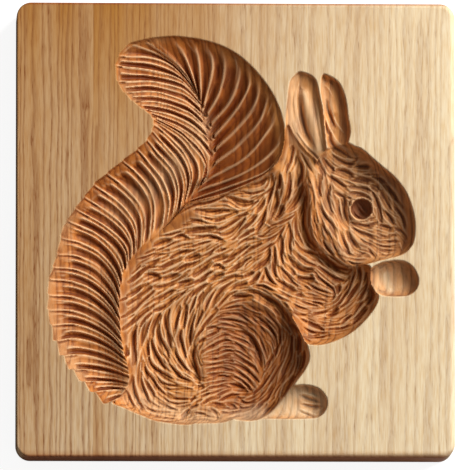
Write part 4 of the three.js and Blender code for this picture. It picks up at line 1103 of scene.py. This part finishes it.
def add_node(tree, kind, inputs=(), output=0, **settings):
    """Add a shader node with its settings and its sockets' values or links: its output."""
    node = tree.nodes.new(kind)
    for name, value in settings.items():
        setattr(node, name, value)
    for socket, value in inputs.items() if isinstance(inputs, dict) else enumerate(inputs):
        if isinstance(value, bpy.types.NodeSocket):
            tree.links.new(value, node.inputs[socket])
        elif node.inputs[socket].type == "RGBA":
            node.inputs[socket].default_value = [*value, 1]
        else:
            node.inputs[socket].default_value = value
    return None if output is None else node.outputs[output]


def new_material(name):
    """An empty node material, and what adds nodes to it."""
    material = bpy.data.materials.new(name)
    material.use_nodes = True
    material.node_tree.nodes.clear()
    return material, partial(add_node, material.node_tree)


def ash_noises(add, place, order, spacing):
    """Noises from -0.5 to 0.5 by name, with grains of some mm along X, Y and Z."""
    # Real pores are a quarter of a millimetre wide: they are drawn wider, to be seen at all
    grains = {
        "wander": ((4, 24, 9), 3, 0),
        "uneven": ((spacing * 2.4, 300, spacing * 5), 2, 5),
        "pore": ((0.38, 4, 0.38), 3, 0),
        "fibre": ((0.5, 7, 0.5), 4, 9),
        "patch": ((11, 120, 11), 2, 3),
        "blotch": ((7, 9, 7), 2, 13),
    }
    noises = {}
    for name, (grain, detail, shift) in grains.items():
        moved = add("ShaderNodeMapping", {
            "Vector": place, "Scale": [1 / (size * MM) for size in grain],
            "Location": (order * 7.3 + shift, order * 3.1, order)})
        noise = add("ShaderNodeTexNoise", {"Vector": moved, "Scale": 1.0, "Detail": detail})
        noises[name] = add("ShaderNodeMath", (noise, 0.5), operation="SUBTRACT")
    return noises


def ash_rings(add, place, noises, spacing, lean, drift):
    """How porous the wood is, from 1 in a ring's early wood to 0, and how much its pores show."""
    drift_angle = math.atan(drift * MM / (CAD_BOUNDS[1][1] - CAD_BOUNDS[0][1]))
    turn = (0, math.radians(lean), drift_angle)
    leaning = add("ShaderNodeMapping", {"Vector": place, "Rotation": turn})
    across = add("ShaderNodeSeparateXYZ", (leaning,), "X")
    rings = add("ShaderNodeMath", (across, 1 / (spacing * MM)), operation="MULTIPLY")
    for name, strength in (("wander", 1.3), ("uneven", 3.6)):
        rings = add("ShaderNodeMath", (noises[name], strength, rings), operation="MULTIPLY_ADD")
    share = add("ShaderNodeMath", (rings,), operation="FRACT")
    porous = add("ShaderNodeValToRGB", (share,))
    stops = porous.node.color_ramp.elements
    for position, _ in RING_PORES[1:-1]:
        stops.new(position)
    for stop, (_, value) in zip(stops, RING_PORES):
        stop.color = (value, value, value, 1)
    pores = add("ShaderNodeMath", (noises["pore"], 7.0, -0.28), operation="MULTIPLY_ADD")
    pores = add("ShaderNodeMath", (pores, 0.0), operation="MAXIMUM")
    often = add("ShaderNodeMath", (porous, 0.75, 0.25), operation="MULTIPLY_ADD")
    return porous, add("ShaderNodeMath", (pores, often), operation="MULTIPLY")


def planed_ash(add, parts, noises, porous, pores, colours, node_name):
    """The colour of the wood where it is planed: rings, a brown that grows towards the left and the head,
    pores and fibres.
    """
    _, contrast, brown_foot, brown_head, _, _ = SAWN[node_name]
    low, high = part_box(node_name)
    centre_x = (low[0] + high[0]) / 2
    early = add("ShaderNodeMath", (porous, contrast), operation="MULTIPLY")
    early = add("ShaderNodeMath", (pores, 0.12 + contrast * 0.5, early), operation="MULTIPLY_ADD")
    rise = (brown_head - brown_foot) / (high[1] - low[1])
    brown = (brown_foot + brown_head) / 2 + BROWN_ACROSS * centre_x
    for value, strength in ((parts["Y"], rise), (noises["patch"], 0.8), (parts["X"], -BROWN_ACROSS)):
        brown = add("ShaderNodeMath", (value, strength, brown), operation="MULTIPLY_ADD")
    dull = add("ShaderNodeMath", (noises["fibre"], 2.6 + contrast, 0.32), operation="MULTIPLY_ADD")
    wood = colours.late_wood
    for share, tint, blend in (
            (brown, colours.early_wood, "MIX"),
            (early, linear("8a5228"), "MIX"),
            (dull, linear("efdfc8"), "MULTIPLY")):
        inputs = {0: share, 6: wood, 7: tint}
        wood = add("ShaderNodeMix", inputs, 2, data_type="RGBA", blend_type=blend)
    return wood


def oiled_and_shaded_edges(add, parts, wood):
    """The planed wood's colour, darker near the outer edges, partly oil and partly painted shade.

    The sawn ends drink more oil than the face, and are painted with shade too: orange at the foot's rounded
    edge, and brown at both ends. The left side, turned from the lamp, is painted with shade, and the arris
    the board stands on with a near-black painted shadow.
    """
    end = add("ShaderNodeMath", (parts["Y"],), operation="ABSOLUTE")
    side = add("ShaderNodeMath", (parts["X"],), operation="ABSOLUTE")
    # Where each begins and where it is full, in mm along its way
    ways = {
        "foot": (parts["Y"], -75.4, -77.4),
        "end": (end, 77.0, 77.9),
        "left": (parts["X"], -74.3, -74.9),
        "outer_end": (end, 76.8, 77.6),
        "outer_side": (side, 73.8, 74.6),
        "low": (parts["Z"], 1.6, 0.0),
    }
    near = {}
    for name, (value, start, full) in ways.items():
        inputs = {"Value": value, "From Min": start * MM, "From Max": full * MM}
        near[name] = add("ShaderNodeMapRange", inputs)
    outer = add("ShaderNodeMath", (near["outer_end"], near["outer_side"]), operation="MAXIMUM")
    near["shadowed_arris"] = add("ShaderNodeMath", (near["low"], outer), operation="MULTIPLY")
    # Oil and painted shade at the foot and the ends, painted shade on the left side, a painted shadow on
    # the arris
    for name, amount, tint, blend in (
            ("foot", 0.5, "d19959", "MULTIPLY"),
            ("end", 0.85, "ce8655", "MULTIPLY"),
            ("left", 0.7, "7c6150", "MULTIPLY"),
            ("shadowed_arris", 0.9, "1c0d05", "MIX")):
        share = add("ShaderNodeMath", (near[name], amount), operation="MULTIPLY")
        inputs = {0: share, 6: wood, 7: linear(tint)}
        wood = add("ShaderNodeMix", inputs, 2, data_type="RGBA", blend_type=blend)
    return wood


def oiled_cut(add, wood, noises, porous, pores, colours, contrast):
    """The wood's colour where the gouge has cut it: oil brings out the rings in the open fibres, oil and
    painted shade darken the furrows and deep hollows, and painted highlights pale the crests.
    """
    soak = add("ShaderNodeAttribute", output="Fac", attribute_name="soak")
    furrow = add("ShaderNodeAttribute", output="Fac", attribute_name="furrow")
    open_rings = add("ShaderNodeMath", (pores, 0.25), operation="MULTIPLY")
    inputs = (porous, 0.66 - contrast * 0.45, open_rings)
    open_rings = add("ShaderNodeMath", inputs, operation="MULTIPLY_ADD")
    blotch = add("ShaderNodeMath", (noises["blotch"], 2.2, 0.12), operation="MULTIPLY_ADD")
    # Painted shade, partly oil that stands there: the bottoms of the furrows and the eye's pit are darkened
    inputs = {"Value": furrow, "From Min": 0.26, "From Max": 1.0, "To Max": 0.85}
    furrow_shade_and_oil = add("ShaderNodeMapRange", inputs)
    # Crests, where the furrow is below 0, are painted pale, as wear and a painted highlight, and less where
    # more shade and oil is painted
    rubbed_and_highlit = add("ShaderNodeMath", (soak, 0.385, -0.7), operation="MULTIPLY_ADD")
    raised = add("ShaderNodeMath", (furrow, rubbed_and_highlit), operation="MULTIPLY")
    for share, tint, blend in (
            (open_rings, linear("6a3f1e"), "MIX"),
            (1.0, colours.carved_tint, "MULTIPLY"),
            (blotch, linear("7d4218"), "MIX"),
            (soak, colours.soaked_tint, "MULTIPLY"),
            (furrow_shade_and_oil, linear("6a2603"), "MIX"),
            (raised, linear("f8cea0"), "MIX")):
        inputs = {0: share, 6: wood, 7: tint}
        wood = add("ShaderNodeMix", inputs, 2, data_type="RGBA", blend_type=blend)
    return wood


def oiled_ash(node_name, colours, order):
    """Ash, planed on the face and gouge-cut in the hollow, wiped with oil.

    Ring-porous: brown bands of open pores between dense pale late wood, in straight lines
    along the board. The oil soaks into the cut fibres of the hollow and turns them tan.
    """
    spacing, contrast, _, _, lean, drift = SAWN[node_name]
    material, add = new_material("oiled_ash_" + node_name)
    place = add("ShaderNodeTexCoord", output="Object")
    split = add("ShaderNodeSeparateXYZ", (place,)).node
    noises = ash_noises(add, place, order, spacing)
    porous, pores = ash_rings(add, place, noises, spacing, lean, drift)
    wood = planed_ash(add, split.outputs, noises, porous, pores, colours, node_name)
    wood = oiled_and_shaded_edges(add, split.outputs, wood)
    cut = add("ShaderNodeAttribute", output="Fac", attribute_name="oiled")
    tinted = oiled_cut(add, wood, noises, porous, pores, colours, contrast)
    inputs = {0: cut, 6: wood, 7: tinted}
    both = add("ShaderNodeMix", inputs, 2, data_type="RGBA")
    sunk = add("ShaderNodeMath", (pores, -0.5), operation="MULTIPLY")
    height = add("ShaderNodeMath", (noises["fibre"], 0.5, sunk), operation="MULTIPLY_ADD")
    surface = add("ShaderNodeBsdfPrincipled", {
        "Base Color": both,
        "Normal": add("ShaderNodeBump", {"Height": height, "Strength": 0.3, "Distance": 0.06 * MM}),
        "Roughness": 0.56,
        "IOR": 1.4,
        "Specular Tint": linear("ffeacb"),
    })
    add("ShaderNodeOutputMaterial", {"Surface": surface}, output=None)
    return material


class BoardOutline:
    """The board seen from above: a rectangle with round corners and an eased edge."""

    def __init__(self, face, sizes):
        self.half_width, self.half_length = -face.x[0], -face.y[0]
        self.corner = sizes.corner_radius / MM
        self.face_edge_round = sizes.face_edge_round / MM

    def reach(self, x, y):
        """Distance to the nearest outer edge of the square board."""
        return min(self.half_width - abs(x), self.half_length - abs(y))

    def easing(self, x, y):
        """The radius of the face's edge: most at the right and the foot, least at the left."""
        more = EASED_MORE[0] * x / self.half_width + EASED_MORE[1] * y / self.half_length
        return self.face_edge_round * (1 + more)

    def rounded(self, x, y, inset):
        """A place on the square board moved on to the rounded one, inset from its edge."""
        over_x = max(abs(x) - (self.half_width - self.corner), 0)
        over_y = max(abs(y) - (self.half_length - self.corner), 0)
        if over_x <= 0 and over_y <= 0:
            return x, y
        to_edge = max(over_x, over_y) * (self.corner - inset) / self.corner
        scale = to_edge / math.hypot(over_x, over_y)
        if over_x > 0:
            x = math.copysign(self.half_width - self.corner + over_x * scale, x)
        if over_y > 0:
            y = math.copysign(self.half_length - self.corner + over_y * scale, y)
        return x, y


def open_rim(mesh):
    """The mesh's edges with only one face."""
    return [edge for edge in mesh.edges if edge.is_boundary]


def drawn_rim(mesh):
    """The vertices drawn out of the mesh's open rim."""
    drawn = bmesh.ops.extrude_edge_only(mesh, edges=open_rim(mesh))["geom"]
    return [item for item in drawn if isinstance(item, bmesh.types.BMVert)]


def carve_grid(verts, layers, face, outline, top):
    """Lower a flat grid to the carving, round it over at the board's edge, and fill its layers."""
    for vert in verts:
        x, y, _ = vert.co
        node = face.node_at((x, y))
        eased = outline.easing(x, y)
        share = max(0.0, 1 - outline.reach(x, y) / eased)
        pull = eased * (math.sin(share * math.pi / 2) - share)
        drop = eased * (1 - math.cos(share * math.pi / 2))
        vert.co = (*outline.rounded(x, y, -pull), top - drop - face.depth[node])
        for name, layer in layers.items():
            vert[layer] = getattr(face, name)[node]


def shade_smooth(mesh, flat_faces):
    """Shade all faces smooth but the flat ones, and keep the sharp edges."""
    for polygon in mesh.faces:
        polygon.smooth = True
    for polygon in flat_faces:
        polygon.smooth = False
    for edge in mesh.edges:
        if len(edge.link_faces) == 2 and edge.calc_face_angle() > SHARP:
            edge.smooth = False


def new_object(name, mesh):
    """A bmesh as an object in the scene."""
    data = bpy.data.meshes.new(name)
    mesh.to_mesh(data)
    mesh.free()
    made = bpy.data.objects.new(name, data)
    bpy.context.scene.collection.objects.link(made)
    return made


def make_stave(node_name, face, sizes):
    """One stave: a grid with the carving in it, drawn down to the board's back."""
    low, high = (np.array(corner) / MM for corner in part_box(node_name))
    size = high - low
    outline = BoardOutline(face, sizes)
    rounding = sizes.edge_round / MM
    columns, rows = (round(side / face.step) for side in size[:2])
    mesh = bmesh.new()
    bmesh.ops.create_grid(mesh, x_segments=columns, y_segments=rows, size=0.5)
    bmesh.ops.scale(mesh, vec=(size[0], size[1], 1), verts=mesh.verts)
    bmesh.ops.translate(mesh, vec=((high[0] + low[0]) / 2, 0, high[2]), verts=mesh.verts)
    layers = {name: mesh.verts.layers.float.new(name) for name in ("oiled", "furrow", "soak")}
    grid = list(mesh.verts)
    rings = []
    for step in range(EDGE_STEPS + 1):
        angle = math.pi / 2 * step / EDGE_STEPS
        height, inset = (rounding * (1 - part) for part in (math.sin(angle), math.cos(angle)))
        rings.append((drawn_rim(mesh), height, inset))
    back = bmesh.ops.contextual_create(mesh, geom=open_rim(mesh))["faces"]
    for ring, height, inset in rings:
        for vert in ring:
            vert.co = (*outline.rounded(vert.co.x, vert.co.y, inset), height)
    carve_grid(grid, layers, face, outline, high[2])
    bmesh.ops.scale(mesh, vec=(MM, MM, MM), verts=mesh.verts)
    bmesh.ops.recalc_face_normals(mesh, faces=mesh.faces)
    shade_smooth(mesh, back)
    return new_object(node_name + "_carved", mesh)


class MOULD_OT_staves(bpy.types.Operator):
    """Make the six glued staves with the squirrel carved across them"""

    bl_idname = "mould.staves"
    bl_label = "Carved staves"

    def execute(self, context):
        sizes = context.scene.mould_sizes
        face = carved_squirrel(sizes)
        for order, node_name in enumerate(SAWN):
            stave = make_stave(node_name, face, sizes)
            stave.data.materials.append(oiled_ash(node_name, context.scene.mould_colours, order))
            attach(stave, "root")
            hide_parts(node_name)
        return {"FINISHED"}


def matt_paper(colours):
    """Matt paper: it takes the mould's soft shadow, shows white to the camera from above,
    and isn't seen from below."""
    material, add = new_material("matt_paper")
    paper = add("ShaderNodeBsdfPrincipled", {"Base Color": colours.floor, "Roughness": 0.9})
    glow = add("ShaderNodeEmission", {"Strength": 0.88})
    glowing = add("ShaderNodeAddShader", (paper, glow))
    to_camera = add("ShaderNodeLightPath", output="Is Camera Ray")
    above = add("ShaderNodeMixShader", (to_camera, paper, glowing))
    from_below = add("ShaderNodeNewGeometry", output="Backfacing")
    below = add("ShaderNodeBsdfTransparent")
    seen = add("ShaderNodeMixShader", (from_below, above, below))
    add("ShaderNodeOutputMaterial", {"Surface": seen}, output=None)
    return material


def studio_floor(colours):
    """A sheet of paper under the mould, cut out where it stands so that its underside shows."""
    half_width, half_length = (high - FLOOR_UNDER for high in CAD_BOUNDS[1][:2])
    mesh = bmesh.new()
    outer, inner = ([mesh.verts.new((x * reach_x, y * reach_y, FLOOR_DROP))
                     for x, y in ((1, 1), (-1, 1), (-1, -1), (1, -1))]
                    for reach_x, reach_y in ((FLOOR_REACH, FLOOR_REACH), (half_width, half_length)))
    for i in range(4):
        mesh.faces.new((outer[i - 1], outer[i], inner[i], inner[i - 1]))
    floor = new_object("studio_floor", mesh)
    floor.data.materials.append(matt_paper(colours))


def studio_world():
    """Even light from all around that shows white to the camera."""
    world = bpy.data.worlds.new("studio")
    world.use_nodes = True
    world.node_tree.nodes.clear()
    add = partial(add_node, world.node_tree)
    to_camera = add("ShaderNodeLightPath", output="Is Camera Ray")
    inputs = (to_camera, WORLD_SHOWN, WORLD_LIGHT)
    strength = add("ShaderNodeMath", inputs, operation="MULTIPLY_ADD")
    light = add("ShaderNodeBackground", {"Color": linear(LIGHT_COLOUR), "Strength": strength})
    add("ShaderNodeOutputWorld", {"Surface": light}, output=None)
    return world


def add_lamp(scene):
    """One soft square lamp, aimed at the middle of the board's face."""
    data = bpy.data.lights.new("key", "AREA")
    data.size = LAMP_SIZE
    data.energy = LAMP_POWER
    data.color = linear(LIGHT_COLOUR)
    azimuth, elevation = math.radians(LAMP_AZIMUTH), math.radians(LAMP_ELEVATION)
    away = Vector((math.cos(azimuth) * math.cos(elevation),
                   math.sin(azimuth) * math.cos(elevation), math.sin(elevation)))
    lamp = bpy.data.objects.new("key", data)
    lamp.location = Vector((0, 0, CAD_BOUNDS[1][2])) + away * LAMP_DISTANCE
    lamp.rotation_euler = away.to_track_quat("Z", "Y").to_euler()
    scene.collection.objects.link(lamp)


def add_camera(scene):
    """A long lens that sees the board almost without perspective."""
    target = Vector((*FRAME_CENTRE, CAD_BOUNDS[1][2]))
    away = Vector((-math.tan(math.radians(CAMERA_LEAN_LEFT)),
                   -math.tan(math.radians(CAMERA_LEAN_DOWN)), 1)).normalized()
    data = bpy.data.cameras.new("camera")
    data.sensor_width = SENSOR_WIDTH
    data.lens = SENSOR_WIDTH * CAMERA_DISTANCE / FRAME_WIDTH
    data.clip_end = 100
    camera = bpy.data.objects.new("camera", data)
    camera.location = target + away * CAMERA_DISTANCE
    right = Vector((0, 1, 0)).cross(away).normalized()
    axes = Matrix((right, away.cross(right), away)).transposed()
    camera.rotation_euler = axes.to_euler()
    scene.collection.objects.link(camera)
    scene.camera = camera


class MOULD_OT_stage(bpy.types.Operator):
    """Make the floor, the light and the camera"""

    bl_idname = "mould.stage"
    bl_label = "Stage"

    def execute(self, context):
        scene = context.scene
        scene.view_settings.view_transform = "Standard"
        studio_floor(scene.mould_colours)
        scene.world = studio_world()
        add_lamp(scene)
        add_camera(scene)
        return {"FINISHED"}


class MOULD_PT_panel(bpy.types.Panel):
    """Sizes, colours and the makers of the pieces"""

    bl_idname = "MOULD_PT_panel"
    bl_label = "Shortbread mould"
    bl_space_type = "VIEW_3D"
    bl_region_type = "UI"
    bl_category = "Mould"

    def draw(self, context):
        for group in (context.scene.mould_sizes, context.scene.mould_colours):
            for name in group.__annotations__:
                self.layout.prop(group, name)
        for operator in (MOULD_OT_staves, MOULD_OT_stage):
            self.layout.operator(operator.bl_idname)


CLASSES = (MouldSizes, MouldColours, MOULD_OT_staves, MOULD_OT_stage, MOULD_PT_panel)


def register():
    for each in CLASSES:
        bpy.utils.register_class(each)
    bpy.types.Scene.mould_sizes = bpy.props.PointerProperty(type=MouldSizes)
    bpy.types.Scene.mould_colours = bpy.props.PointerProperty(type=MouldColours)


def unregister():
    del bpy.types.Scene.mould_colours
    del bpy.types.Scene.mould_sizes
    for each in reversed(CLASSES):
        bpy.utils.unregister_class(each)


def main():
    register()
    bpy.ops.mould.staves()
    bpy.ops.mould.stage()


if __name__ == "__main__":
    main()
